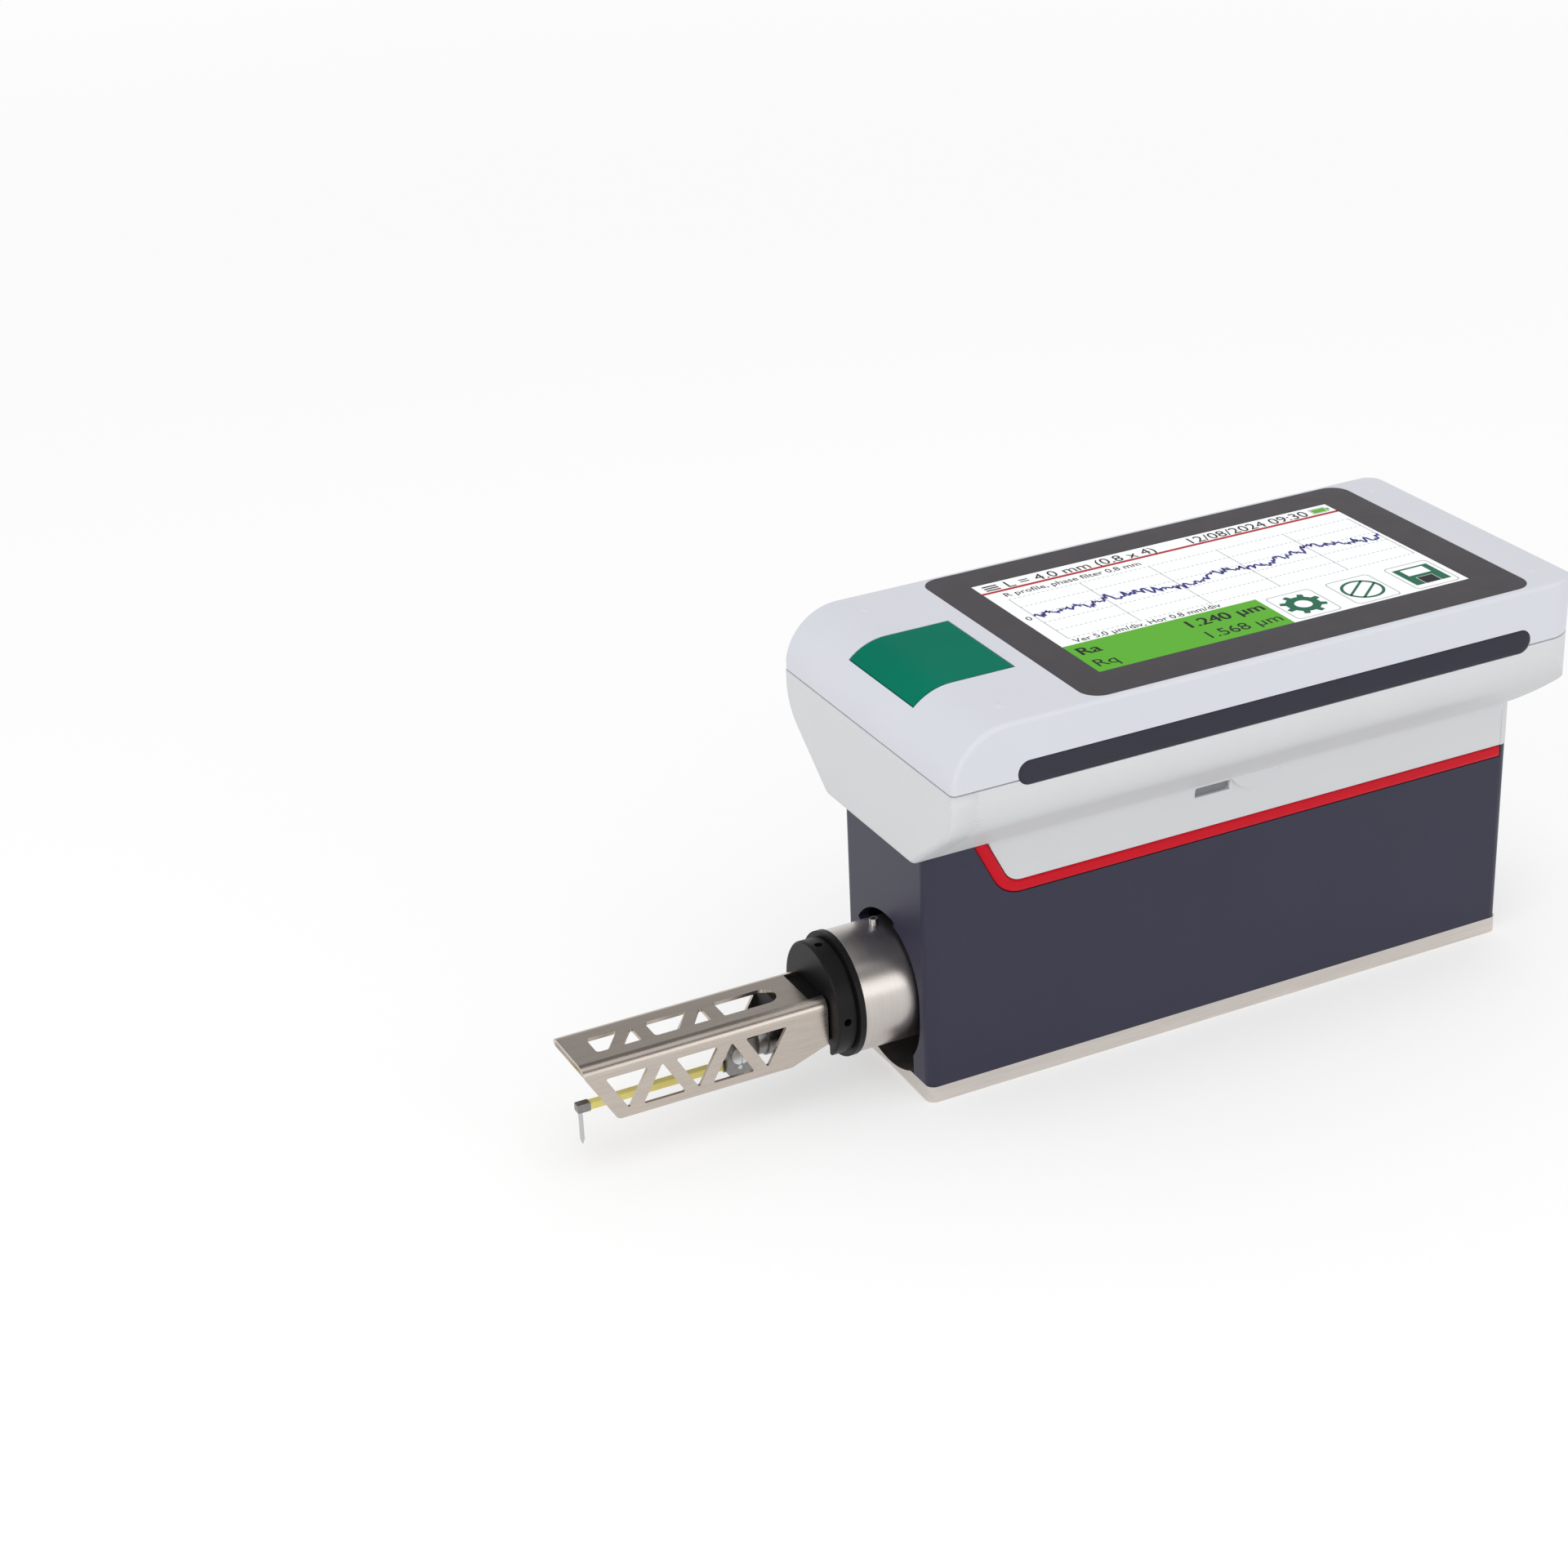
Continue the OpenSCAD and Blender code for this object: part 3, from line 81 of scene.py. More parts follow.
# two tones of one colour that drift into each other over a size in millimetres
def tones(tree, place, light, dark, size):
    drift = put(tree, "ShaderNodeTexNoise", {"Vector": place, "Scale": 1 / (size * mm), "Detail": 4.0})
    return put(tree, "ShaderNodeMix", {"Factor": drift.outputs["Fac"], "A": hexColour(dark),
                                       "B": hexColour(light)}, data_type="RGBA")


# injection moulded plastic: even colour, and the fine grain of a spark-eroded mould that softens the gloss
moulding = {"drift": 18, "relief": 0.03, "glossier": 0.06, "duller": 0.08, "ior": 1.53}   # lengths in mm


def mouldedPlastic(name, light, dark, roughness, gloss, grain, depth):
    material, tree, place = startMaterial(name)
    colour = tones(tree, place, light, dark, moulding["drift"])
    spark = put(tree, "ShaderNodeTexNoise", {"Vector": place, "Scale": 1 / (grain * mm), "Detail": 3.0})
    worn = put(tree, "ShaderNodeMapRange", {"Value": spark.outputs["Fac"],
                                            "To Min": roughness - moulding["glossier"],
                                            "To Max": roughness + moulding["duller"]})
    bump = put(tree, "ShaderNodeBump", {"Height": spark.outputs["Fac"], "Strength": depth,
                                        "Distance": moulding["relief"] * mm})
    skin = put(tree, "ShaderNodeBsdfPrincipled", {
        "Base Color": colour.outputs["Result"], "Roughness": worn.outputs["Result"],
        "IOR": moulding["ior"], "Specular IOR Level": gloss, "Normal": bump.outputs["Normal"]})
    put(tree, "ShaderNodeOutputMaterial", {"Surface": skin.outputs["BSDF"]})
    return material


# metal whose fine lines run along one axis, as grinding, brushing or turning leaves them
lining = {"relief": 0.02, "glossier": 0.05, "duller": 0.06}   # length in mm


def linedMetal(name, light, dark, roughness, pitch, stretch, depth):
    material, tree, place = startMaterial(name)
    scale = [1 / (pitch * mm) * s for s in stretch]
    drawn = put(tree, "ShaderNodeMapping", {"Vector": place, "Scale": scale}).outputs["Vector"]
    lines = put(tree, "ShaderNodeTexNoise", {"Vector": drawn, "Scale": 1.0, "Detail": 4.0}).outputs["Fac"]
    colour = put(tree, "ShaderNodeMix", {"Factor": lines, "A": hexColour(dark), "B": hexColour(light)},
                 data_type="RGBA")
    worn = put(tree, "ShaderNodeMapRange", {"Value": lines, "To Min": roughness - lining["glossier"],
                                            "To Max": roughness + lining["duller"]})
    bump = put(tree, "ShaderNodeBump", {"Height": lines, "Strength": depth,
                                        "Distance": lining["relief"] * mm})
    skin = put(tree, "ShaderNodeBsdfPrincipled", {
        "Base Color": colour.outputs["Result"], "Metallic": 1.0, "Roughness": worn.outputs["Result"],
        "Normal": bump.outputs["Normal"]})
    put(tree, "ShaderNodeOutputMaterial", {"Surface": skin.outputs["BSDF"]})
    return material


# baked powder coat: a satin film with a slight orange peel of about half a millimetre
coating = {"drift": 30, "relief": 0.02, "depth": 0.35, "ior": 1.5}   # lengths in mm


def powderCoat(name, light, dark, roughness, gloss, peel):
    material, tree, place = startMaterial(name)
    colour = tones(tree, place, light, dark, coating["drift"])
    ripple = put(tree, "ShaderNodeTexNoise", {"Vector": place, "Scale": 1 / (peel * mm), "Detail": 2.0})
    bump = put(tree, "ShaderNodeBump", {"Height": ripple.outputs["Fac"], "Strength": coating["depth"],
                                        "Distance": coating["relief"] * mm})
    skin = put(tree, "ShaderNodeBsdfPrincipled", {
        "Base Color": colour.outputs["Result"], "Roughness": roughness, "IOR": coating["ior"],
        "Specular IOR Level": gloss, "Normal": bump.outputs["Normal"]})
    put(tree, "ShaderNodeOutputMaterial", {"Surface": skin.outputs["BSDF"]})
    return material


# acrylic printed dark from behind: deep even tone under a smooth face with a hard-coat sheen
acrylic = {"drift": 40, "haze": 6, "roughness": (0.3, 0.42), "gloss": 0.3, "ior": 1.49}   # lengths in mm


def printedAcrylic(name, light, dark):
    material, tree, place = startMaterial(name)
    colour = tones(tree, place, light, dark, acrylic["drift"])
    haze = put(tree, "ShaderNodeTexNoise", {"Vector": place, "Scale": 1 / (acrylic["haze"] * mm),
                                            "Detail": 3.0})
    clear, dull = acrylic["roughness"]
    worn = put(tree, "ShaderNodeMapRange", {"Value": haze.outputs["Fac"], "To Min": clear, "To Max": dull})
    skin = put(tree, "ShaderNodeBsdfPrincipled", {
        "Base Color": colour.outputs["Result"], "Roughness": worn.outputs["Result"],
        "IOR": acrylic["ior"], "Specular IOR Level": acrylic["gloss"]})
    put(tree, "ShaderNodeOutputMaterial", {"Surface": skin.outputs["BSDF"]})
    return material


# lit display behind cover glass: a field that glows a little, with the faint lattice of its pixels
# real pixels are 0.11 mm wide, drawn four times as wide so that they show
display = {"pixel": 0.44, "shade": 0.97, "roughness": 0.22, "gloss": 0.12, "ior": 1.5}


def litDisplay(name, code, glow):
    material, tree, place = startMaterial(name)
    colour = hexColour(code)
    lattice = put(tree, "ShaderNodeTexChecker", {"Vector": place, "Scale": 1 / (display["pixel"] * mm),
                                                 "Color1": colour,
                                                 "Color2": [display["shade"] * c for c in colour]})
    skin = put(tree, "ShaderNodeBsdfPrincipled", {
        "Base Color": lattice.outputs["Color"], "Roughness": display["roughness"], "IOR": display["ior"],
        "Specular IOR Level": display["gloss"], "Emission Color": colour, "Emission Strength": glow})
    put(tree, "ShaderNodeOutputMaterial", {"Surface": skin.outputs["BSDF"]})
    return material


# fibreglass board: green solder mask over copper lanes, with the mask's even gloss
board = {"lanes": 6, "laneShare": 0.03, "roughness": 0.35, "ior": 1.55}   # length in mm


def circuitBoard(name, mask, copper):
    material, tree, place = startMaterial(name)
    lanes = put(tree, "ShaderNodeTexBrick", {"Vector": place, "Scale": 1 / (board["lanes"] * mm),
                                             "Color1": hexColour(mask), "Color2": hexColour(mask),
                                             "Mortar": hexColour(copper), "Mortar Size": board["laneShare"]})
    skin = put(tree, "ShaderNodeBsdfPrincipled", {
        "Base Color": lanes.outputs["Color"], "Roughness": board["roughness"], "IOR": board["ior"]})
    put(tree, "ShaderNodeOutputMaterial", {"Surface": skin.outputs["BSDF"]})
    return material


along = [0.04, 1, 1]   # lines that run along X
around = [1, 0.04, 0.04]   # lines that run round X
everyWay = [1, 1, 1]
# plastics: light and dark tone, roughness, gloss, grain in mm and its depth
# metals: light and dark tone, roughness, pitch of the lines in mm, the way they run and their depth
finishes = {
    "cover_plastic": mouldedPlastic("mouldedCoverPlastic", "#dadce3", "#d5d7df", 0.46, 0.4, 0.5, 0.25),
    "housing_plastic": mouldedPlastic("mouldedHousingPlastic", "#d9dbdd", "#d4d6d8", 0.48, 0.4, 0.5, 0.25),
    "lens_plastic": printedAcrylic("printedAcrylicLens", "#3d393f", "#373338"),
    "screen_glass": litDisplay("litDisplayGlass", "#f7f8f9", 0.11),
    "button_plastic": mouldedPlastic("mouldedButtonPlastic", "#017a60", "#007059", 0.5, 0.03, 0.5, 0.25),
    "black_plastic": mouldedPlastic("mouldedBlackPlastic", "#222224", "#1c1c1e", 0.45, 0.3, 0.5, 0.3),
    "grip_rubber": mouldedPlastic("mouldedGripRubber", "#32323f", "#2b2b37", 0.6, 0.25, 0.4, 0.5),
    "trim_plastic": mouldedPlastic("mouldedTrimPlastic", "#d21226", "#c60f22", 0.38, 0.12, 0.6, 0.2),
    "circuit_board": circuitBoard("solderMaskBoard", "#1f6b45", "#6f8f3c"),
    "screw_steel": linedMetal("zincPlatedSteel", "#dfe0e1", "#c8cacc", 0.24, 0.4, everyWay, 0.15),
    "battery_sleeve": mouldedPlastic("shrinkSleeve", "#3f6fa8", "#38659b", 0.35, 0.5, 1.2, 0.2),
    "case_paint": powderCoat("slatePowderCoat", "#343347", "#2e2d40", 0.4, 0.3, 0.6),
    "plate_steel": linedMetal("groundPlateSteel", "#e2dcd6", "#cbc3bc", 0.34, 0.5, along, 0.12),
    "ground_steel": linedMetal("groundRodSteel", "#cfd1d3", "#b3b6b9", 0.2, 0.4, around, 0.15),
    "motor_can": linedMetal("drawnMotorCan", "#a3a6aa", "#8c8f93", 0.35, 0.5, everyWay, 0.15),
    "frame_aluminium": linedMetal("milledAluminium", "#b9bdc1", "#9da1a6", 0.36, 0.5, everyWay, 0.25),
    "nut_brass": linedMetal("turnedBrass", "#c7a35a", "#a98545", 0.28, 0.4, everyWay, 0.2),
    "tube_steel": linedMetal("turnedTubeSteel", "#d3cdc9", "#bfb8b3", 0.29, 0.4, around, 0.06),
    "cap_plastic": mouldedPlastic("turnedBlackAcetal", "#161415", "#111011", 0.45, 0.18, 0.5, 0.3),
    "pickup_metal": linedMetal("darkPickupMetal", "#9c9a98", "#7b7977", 0.34, 0.4, everyWay, 0.2),
    "guard_steel": linedMetal("brushedGuardSteel", "#cfc5bb", "#b5aba2", 0.26, 0.35, along, 0.1),
    "arm_plastic": mouldedPlastic("yellowArmPlastic", "#f4e88e", "#ebdd7c", 0.4, 0.4, 0.6, 0.2),
}
slotOf = {row["node"]: row["material_slot"] for row in frame["record"]["subparts"]}
for name, piece in nodes.items():
    piece.data.materials.clear()
    piece.data.materials.append(finishes[slotOf[name]])
print("finishes given to", len(nodes), "nodes")


# closed mesh of one outline, or of a ring where a second outline of as many points is the hole
def prism(points, z0, z1, hole=None):
    mesh = bmesh.new()
    outlines = [points, hole] if hole else [points]
    loops = [[mesh.verts.new((x, y, z)) for x, y in ring] for ring in outlines for z in (z0, z1)]
    count = len(points)
    for i in range(count):
        j = (i + 1) % count
        mesh.faces.new((loops[0][i], loops[0][j], loops[1][j], loops[1][i]))
        if hole:
            mesh.faces.new((loops[2][j], loops[2][i], loops[3][i], loops[3][j]))
            mesh.faces.new((loops[1][i], loops[1][j], loops[3][j], loops[3][i]))
            mesh.faces.new((loops[0][j], loops[0][i], loops[2][i], loops[2][j]))
    if not hole:
        mesh.faces.new(loops[1])
        mesh.faces.new(list(reversed(loops[0])))
    return mesh


# closed skin over a row of rings; where it is smooth, the strip that closes each ring stays flat
def skinRings(mesh, rings, smooth=False):
    for a, b in zip(rings, rings[1:]):
        for i in range(len(a)):
            face = mesh.faces.new((a[i - 1], a[i], b[i], b[i - 1]))
            face.smooth = smooth and i > 0
    mesh.faces.new(rings[0])
    mesh.faces.new(list(reversed(rings[-1])))


def softRect(x0, y0, x1, y1, radius, steps=5):
    left, right, low, high = x0 + radius, x1 - radius, y0 + radius, y1 - radius
    points = []
    for x, y, start in ((right, low, 270), (right, high, 0), (left, high, 90), (left, low, 180)):
        for k in range(steps + 1):
            turn = math.radians(start + 90 * k / steps)
            points.append((x + radius * math.cos(turn), y + radius * math.sin(turn)))
    return points


def ringPoints(x, y, radius, count=40):
    turns = [2 * math.pi * k / count for k in range(count)]
    return [(x + radius * math.cos(t), y + radius * math.sin(t)) for t in turns]


# one object from several small meshes, with its place in its mesh
def gather(name, meshes, material, body):
    whole = bmesh.new()
    for part in meshes:
        data = bpy.data.meshes.new("part")
        part.to_mesh(data)
        part.free()
        whole.from_mesh(data)
        bpy.data.meshes.remove(data)
    bmesh.ops.recalc_face_normals(whole, faces=whole.faces)
    data = bpy.data.meshes.new(name)
    whole.to_mesh(data)
    whole.free()
    data.materials.append(material)
    piece = bpy.data.objects.new(name, data)
    bpy.context.scene.collection.objects.link(piece)
    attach(piece, body)
    return piece


# soft trims and strips: the outline of a node's outer face, crowned from a little below its neighbours
crowns = {   # node, depth of the round and its run inwards in millimetres
    "trimBeadLeft": ("trim_left", 1.1, 1.3),
    "trimBeadRight": ("trim_right", 1.1, 1.3),
    "gripCrownLeft": ("grip_strip_left", 0.45, 1.6),
    "gripCrownRight": ("grip_strip_right", 0.45, 1.6),
}
closeBy = 1e-6   # metres within which points count as one


def crown(node, depth, run, steps=6):
    low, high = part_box(node)
    side = 1 if low.y + high.y > 0 else -1
    inner, outer = (low.y, high.y) if side > 0 else (high.y, low.y)
    source = bmesh.new()
    source.from_mesh(nodes[node].data)
    bmesh.ops.remove_doubles(source, verts=source.verts, dist=closeBy)
    flat = [f for f in source.faces if all(abs(v.co.y - outer) < closeBy for v in f.verts)]
    outline = bmesh.ops.dissolve_faces(source, faces=flat)["region"][0]
    corners = [v.co.copy() for v in outline.verts]
    source.free()
    mesh = bmesh.new()
    rows = [[mesh.verts.new((p.x, y, p.z)) for p in corners] for y in (inner, outer - side * depth * mm)]
    for i in range(len(corners)):
        j = (i + 1) % len(corners)
        mesh.faces.new((rows[0][i], rows[0][j], rows[1][j], rows[1][i]))
    mesh.faces.new(list(reversed(rows[0])))
    top = mesh.faces.new(rows[1])
    mesh.normal_update()
    inset, rise = 0.0, 0.0
    for k in range(1, steps + 1):
        turn = math.radians(90 * k / steps)
        nextInset, nextRise = run * (1 - math.cos(turn)), depth * math.sin(turn)
        strip = bmesh.ops.inset_region(mesh, faces=[top], thickness=(nextInset - inset) * mm,
                                       depth=(nextRise - rise) * mm, use_even_offset=True)["faces"]
        for face in strip:
            face.smooth = True
        inset, rise = nextInset, nextRise
    top.smooth = True
    return mesh


for name, (node, depth, run) in crowns.items():
    piece = gather(name, [crown(node, depth, run)], finishes[slotOf[node]], "housing")
    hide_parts(node)
print("trims and strips crowned")


# rear ends of the skirts round the corners of the drive case, and a grey sheet in the slot by the catch that
# is painted shade, standing for the shadow inside the slot
skirts = {   # millimetres
    "height": 10.8,
    "rise": 1.8,
    "thickness": 1.4,
    "proud": 0.12,
    "cornerRadius": 2.6,
    "slotRun": (67.5, 76.3),   # from the drive case's front
    "slotDrop": (2.9, 0.6),   # below its top
    "slotDepth": 0.8,
    "slotRound": 0.8,
    "floorThickness": 0.15,
}
caseLow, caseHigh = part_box("drive_case")


def skirtEnd(side, steps=8):
    radius = skirts["cornerRadius"] * mm
    outer, inner = radius + skirts["proud"] * mm, radius - skirts["thickness"] * mm
    y = caseHigh.y - radius
    turns = [math.radians(90 * k / steps) for k in range(steps + 1)]
    arc = [(caseHigh.x - radius + r * math.cos(t), side * (y + r * math.sin(t)))
           for r, way in ((outer, 1), (inner, -1)) for t in turns[::way]]
    return prism(arc, caseHigh.z - skirts["height"] * mm, caseHigh.z + skirts["rise"] * mm)


# painted shade: a thin sheet on the bottom of the slot's recess, darker than the housing so that the slot
# looks shadowed
def darkSheetForSlotShadow():
    x0, x1 = [caseLow.x + run * mm for run in skirts["slotRun"]]
    z0, z1 = [caseHigh.z - drop * mm for drop in skirts["slotDrop"]]
    y = caseLow.y + skirts["slotDepth"] * mm
    outline = softRect(x0, z0, x1, z1, skirts["slotRound"] * mm)
    mesh = prism(outline, -y, skirts["floorThickness"] * mm - y)
    upright = Matrix.Rotation(math.radians(90), 3, "X")
    bmesh.ops.rotate(mesh, verts=mesh.verts, cent=(0, 0, 0), matrix=upright)
    return mesh


gather("skirtEnds", [skirtEnd(1), skirtEnd(-1)], finishes["housing_plastic"], "housing")
# these two greys are painted shade for the slot's shadow, not the colour of the plastic
paintedSlotShadow = mouldedPlastic("paintedShadowSlotSheet", "#8b8d90", "#7c7e81", 0.6, 0.1, 0.5, 0.3)
gather("darkSheetForSlotShadow", [darkSheetForSlotShadow()], paintedSlotShadow, "housing")
print("skirts ended")


# front end of the tub with its true crisp edge, let into the tub a little behind it
noseCap = {   # millimetres
    "seamDrop": 0.4,   # from the seam down to the cap's head
    "tubHeight": 23.7,   # seam above the drive case's top
    "band": 9.0,   # upright part of the side below the seam
    "halfWidth": 37.9,
    "footOver": 0.5,   # how far the flank's foot stands out past the drive case
    "footGap": 0.08,   # from the drive case's top up to the foot
    "footRound": 3.0,
    "flankRound": 12.0,
    "edgeRound": 1.15,
    "edgeFlat": 0.5,   # even strip behind the round
    "proud": 0.03,   # how far the front and the edge stand out of the tub
    "sink": 0.04,   # how far the rear end lies below its skin
    "run": 12.0,   # length of the cap
}


# points of a rounded corner between the ways in and out
def roundCorner(before, corner, after, radius, steps=10):
    here = Vector(corner)
    back, on = (Vector(before) - here).normalized(), (Vector(after) - here).normalized()
    half = back.angle(on) / 2
    middle = here + (back + on).normalized() * radius / math.sin(half)
    start = here + back * radius / math.tan(half) - middle
    sweep = start.angle_signed(here + on * radius / math.tan(half) - middle)
    return [middle + Matrix.Rotation(-sweep * k / steps, 2) @ start for k in range(steps + 1)]


# section of the tub, drawn in by an inset, as (y, z) pairs from the head at +y round to the head at -y
def tubSection(inset):
    head = noseCap["tubHeight"] - noseCap["seamDrop"]
    side = noseCap["halfWidth"]
    turn = noseCap["tubHeight"] - noseCap["band"]
    foot = caseHigh.y / mm + noseCap["footOver"]
    slope = Vector((side - foot, turn)).normalized()
    low = noseCap["footGap"] + inset
    # the flank's line moved in by the inset, met with the foot's line and the side's line
    shift = inset / slope.y
    footIn = foot - shift + (low * slope.x / slope.y)
    turnIn = (side - inset - foot + shift) * slope.y / slope.x
    ends = [(side - inset, head), (side - inset, turnIn), (footIn, low), (0, low)]
    half = [Vector(ends[0])]
    half += roundCorner(ends[0], ends[1], ends[2], noseCap["flankRound"] - inset)
    half += roundCorner(ends[1], ends[2], ends[3], noseCap["footRound"] - inset)
    whole = [(p.x, p.y) for p in half] + [(-p.x, p.y) for p in reversed(half)]
    return [(y * mm, caseHigh.z + z * mm) for y, z in whole]


def capMesh(steps=6):
    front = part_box("lower_housing")[0].x
    edge, proud = noseCap["edgeRound"], noseCap["proud"]
    stations = [(noseCap["run"], noseCap["sink"]), (edge + noseCap["edgeFlat"], -proud)]
    for k in range(steps + 1):
        turn = math.radians(90 * k / steps)
        stations.append((edge * (1 - math.sin(turn)) - proud, edge * (1 - math.cos(turn)) - proud))
    mesh = bmesh.new()
    rings = [[mesh.verts.new((front + x * mm, y, z)) for y, z in tubSection(inset)]
             for x, inset in stations]
    skinRings(mesh, rings, smooth=True)
    return mesh


gather("noseCap", [capMesh()], finishes["housing_plastic"], "housing")
print("nose capped")


# the display's picture: thin inks on the glass, in millimetres from the lit field's lower front corner
screen = {
    "margin": (3, 4),   # how far the module reaches past the lit field, along and across
    "ink": 0.02,   # thickness of one layer of the picture
    "headerHeight": 5.6,
    "rule": 0.95,   # width of the line under the header
    "result": (0, 0, 49.0, 15.0),
    "capitals": 0.7,   # height of the font's capitals as a share of its size
    "boldShift": 0.2,
}
moduleLow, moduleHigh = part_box("lcd_module")
marginX, marginY = [margin * mm for margin in screen["margin"]]
fieldX, fieldY = moduleLow.x + marginX, moduleLow.y + marginY
lenMm = (moduleHigh.x - moduleLow.x - 2 * marginX) / mm
ruleV = (moduleHigh.y - moduleLow.y - 2 * marginY) / mm - screen["headerHeight"]
inkDark = litDisplay("displayBlack", "#101216", 0.0)
inkGrey = litDisplay("displayGrey", "#aeb3b6", 0.03)
inkBlue = litDisplay("displayBlue", "#2b2b86", 0.02)
inkRed = litDisplay("displayRed", "#b5182a", 0.02)
inkGreen = litDisplay("displayGreen", "#58b022", 0.05)
inkForest = litDisplay("displayForest", "#08684a", 0.02)


def onGlass(points):
    return [(fieldX + u * mm, fieldY + v * mm) for u, v in points]


# foot and head of one layer of ink
def layer(index):
    return [moduleHigh.z + level * screen["ink"] * mm for level in (index, index + 1)]


def shape(points, index, hole=None):
    low, high = layer(index)
    return prism(onGlass(points), low, high, onGlass(hole) if hole else None)


def rect(u0, v0, u1, v1):
    return [(u0, v0), (u1, v0), (u1, v1), (u0, v1)]


# line of text as a thin solid: height is the height of its capitals
def words(text, u, v, height, align="LEFT", index=1):
    low, high = layer(index)
    curve = bpy.data.curves.new("words", "FONT")
    curve.body = text
    curve.size = height * mm / screen["capitals"]
    curve.align_x = align
    curve.extrude = (high - low) / 2
    curve.resolution_u = 3
    holder = bpy.data.objects.new("words", curve)
    bpy.context.scene.collection.objects.link(holder)
    bpy.context.view_layer.update()
    data = bpy.data.meshes.new_from_object(holder.evaluated_get(bpy.context.evaluated_depsgraph_get()))
    bpy.data.objects.remove(holder)
    mesh = bmesh.new()
    mesh.from_mesh(data)
    bpy.data.meshes.remove(data)
    bmesh.ops.remove_doubles(mesh, verts=mesh.verts, dist=1e-7)
    place = (fieldX + u * mm, fieldY + v * mm, (low + high) / 2)
    bmesh.ops.translate(mesh, verts=mesh.verts, vec=place)
    return mesh


# heavier words, as two copies a stroke apart
def boldWords(text, u, v, height, align="LEFT"):
    return [words(text, u + k * screen["boldShift"], v, height, align, 1 + k) for k in (0, 1)]


# the measured profile: slow waves with a fine seeded jitter, as a ribbon of even width
plot = {
    "field": (3.6, 18.4, 94.0, 43.4),
    "zero": 0.54,   # height of the zero line as a share of the field
    "uprights": 6,
    "dashedRows": 6,
    "dashes": 76,   # in each of these rows
    "dash": 0.6,
    "gridLine": 0.2,
    "seed": 7,
    "points": 280,
    "width": 0.58,
    "waves": ((1.2, 9.5, 0.6), (1.1, 23, 2.0)),   # height, and radians along the field and at its start
    "jitter": 1.0,
    "jitterKept": 0.6,   # share that goes on to the next point
    "spike": 1.0,
}
plotLeft, plotFoot, plotRight, plotHead = plot["field"]
zeroV = plotFoot + plot["zero"] * (plotHead - plotFoot)


def traceRibbon():
    draw = random.Random(plot["seed"])
    count = plot["points"]
    jitter = 0.0
    points = []
    for i in range(count):
        t = i / (count - 1)
        jitter = plot["jitterKept"] * jitter + draw.uniform(-plot["jitter"], plot["jitter"])
        spike = draw.uniform(-plot["spike"], plot["spike"])
        wave = sum(height * math.sin(turns * t + start) for height, turns, start in plot["waves"])
        points.append((plotLeft + t * (plotRight - plotLeft), zeroV + wave + jitter + spike))
    half = plot["width"] / 2
    upper, lower = [], []
    for i in range(count):
        before, after = points[max(i - 1, 0)], points[min(i + 1, count - 1)]
        run = Vector((after[0] - before[0], after[1] - before[1])).normalized()
        upper.append((points[i][0] - run.y * half, points[i][1] + run.x * half))
        lower.append((points[i][0] + run.y * half, points[i][1] - run.x * half))
    mesh = bmesh.new()
    rows = [[mesh.verts.new((x, y, z)) for x, y in onGlass(side)]
            for side in (lower, upper) for z in layer(1)]
    for i in range(count - 1):
        for a, b in ((0, 2), (3, 1), (1, 0), (2, 3)):
            mesh.faces.new((rows[a][i], rows[a][i + 1], rows[b][i + 1], rows[b][i]))
    for i in (0, count - 1):
        mesh.faces.new((rows[0][i], rows[1][i], rows[3][i], rows[2][i]))
    return mesh


# three soft-cornered keys with a gear, a struck-through ring and a storage card
keys = {
    "at": (50.6, 66.2, 82.0),
    "size": (11.6, 13.2),
    "foot": 0.9,
    "rounds": (1.2, 1.0),   # outside and inside of the frame
    "line": 0.25,
    "teeth": 8,
    "gear": (3.9, 5.2, 2.0),   # radius at the roots, at the tips and of the hole
    "ring": (4.9, 4.2),   # radius outside and inside
    "strike": (4.5, 1.5, 0.3),   # half length of a bar, its place off the middle and its half width
    "strikeTurn": 40,
    "card": ((-4.6, -4.6, -3.0, 4.6), (3.0, -4.6, 4.6, 4.6), (-3.0, -0.8, 3.0, 0.4),
             (-3.0, 4.0, 3.0, 4.6), (-3.0, -4.6, -2.2, -0.8), (2.2, -4.6, 3.0, -0.8)),
    "cardDoor": (-2.0, -4.6, 2.0, -1.0),
}
keyWidth, keyHeight = keys["size"]
gearU, ringU, cardU = [u + keyWidth / 2 for u in keys["at"]]
keyV = keys["foot"] + keyHeight / 2


def keyFrames():
    foot, line = keys["foot"], keys["line"]
    outside, inside = keys["rounds"]
    rings = []
    for u in keys["at"]:
        outer = softRect(u, foot, u + keyWidth, foot + keyHeight, outside)
        inner = softRect(u + line, foot + line, u + keyWidth - line, foot + keyHeight - line, inside)
        rings.append(shape(outer, 0, inner))
    return rings


def gearOutline(root, tip):
    points = []
    for k in range(keys["teeth"]):
        for share, radius in ((0.0, root), (0.2, root), (0.3, tip), (0.6, tip), (0.7, root), (0.85, root)):
            turn = 2 * math.pi * (k + share) / keys["teeth"]
            points.append((gearU + radius * math.cos(turn), keyV + radius * math.sin(turn)))
    return points


def cardBar(u0, v0, u1, v1):
    return shape(rect(cardU + u0, keyV + v0, cardU + u1, keyV + v1), 1)


def keySigns():
    root, tip, hole = keys["gear"]
    teeth = gearOutline(root, tip)
    outside, inside = keys["ring"]
    signs = [shape(teeth, 1, ringPoints(gearU, keyV, hole, len(teeth))),
             shape(ringPoints(ringU, keyV, outside), 1, ringPoints(ringU, keyV, inside))]
    turn = Matrix.Rotation(math.radians(keys["strikeTurn"]), 2)
    half, off, thick = keys["strike"]
    for v in (-off, off):
        bar = [turn @ Vector(p) for p in rect(-half, v - thick, half, v + thick)]
        signs.append(shape([(ringU + p.x, keyV + p.y) for p in bar], 1))
    return signs + [cardBar(*bar) for bar in keys["card"]]


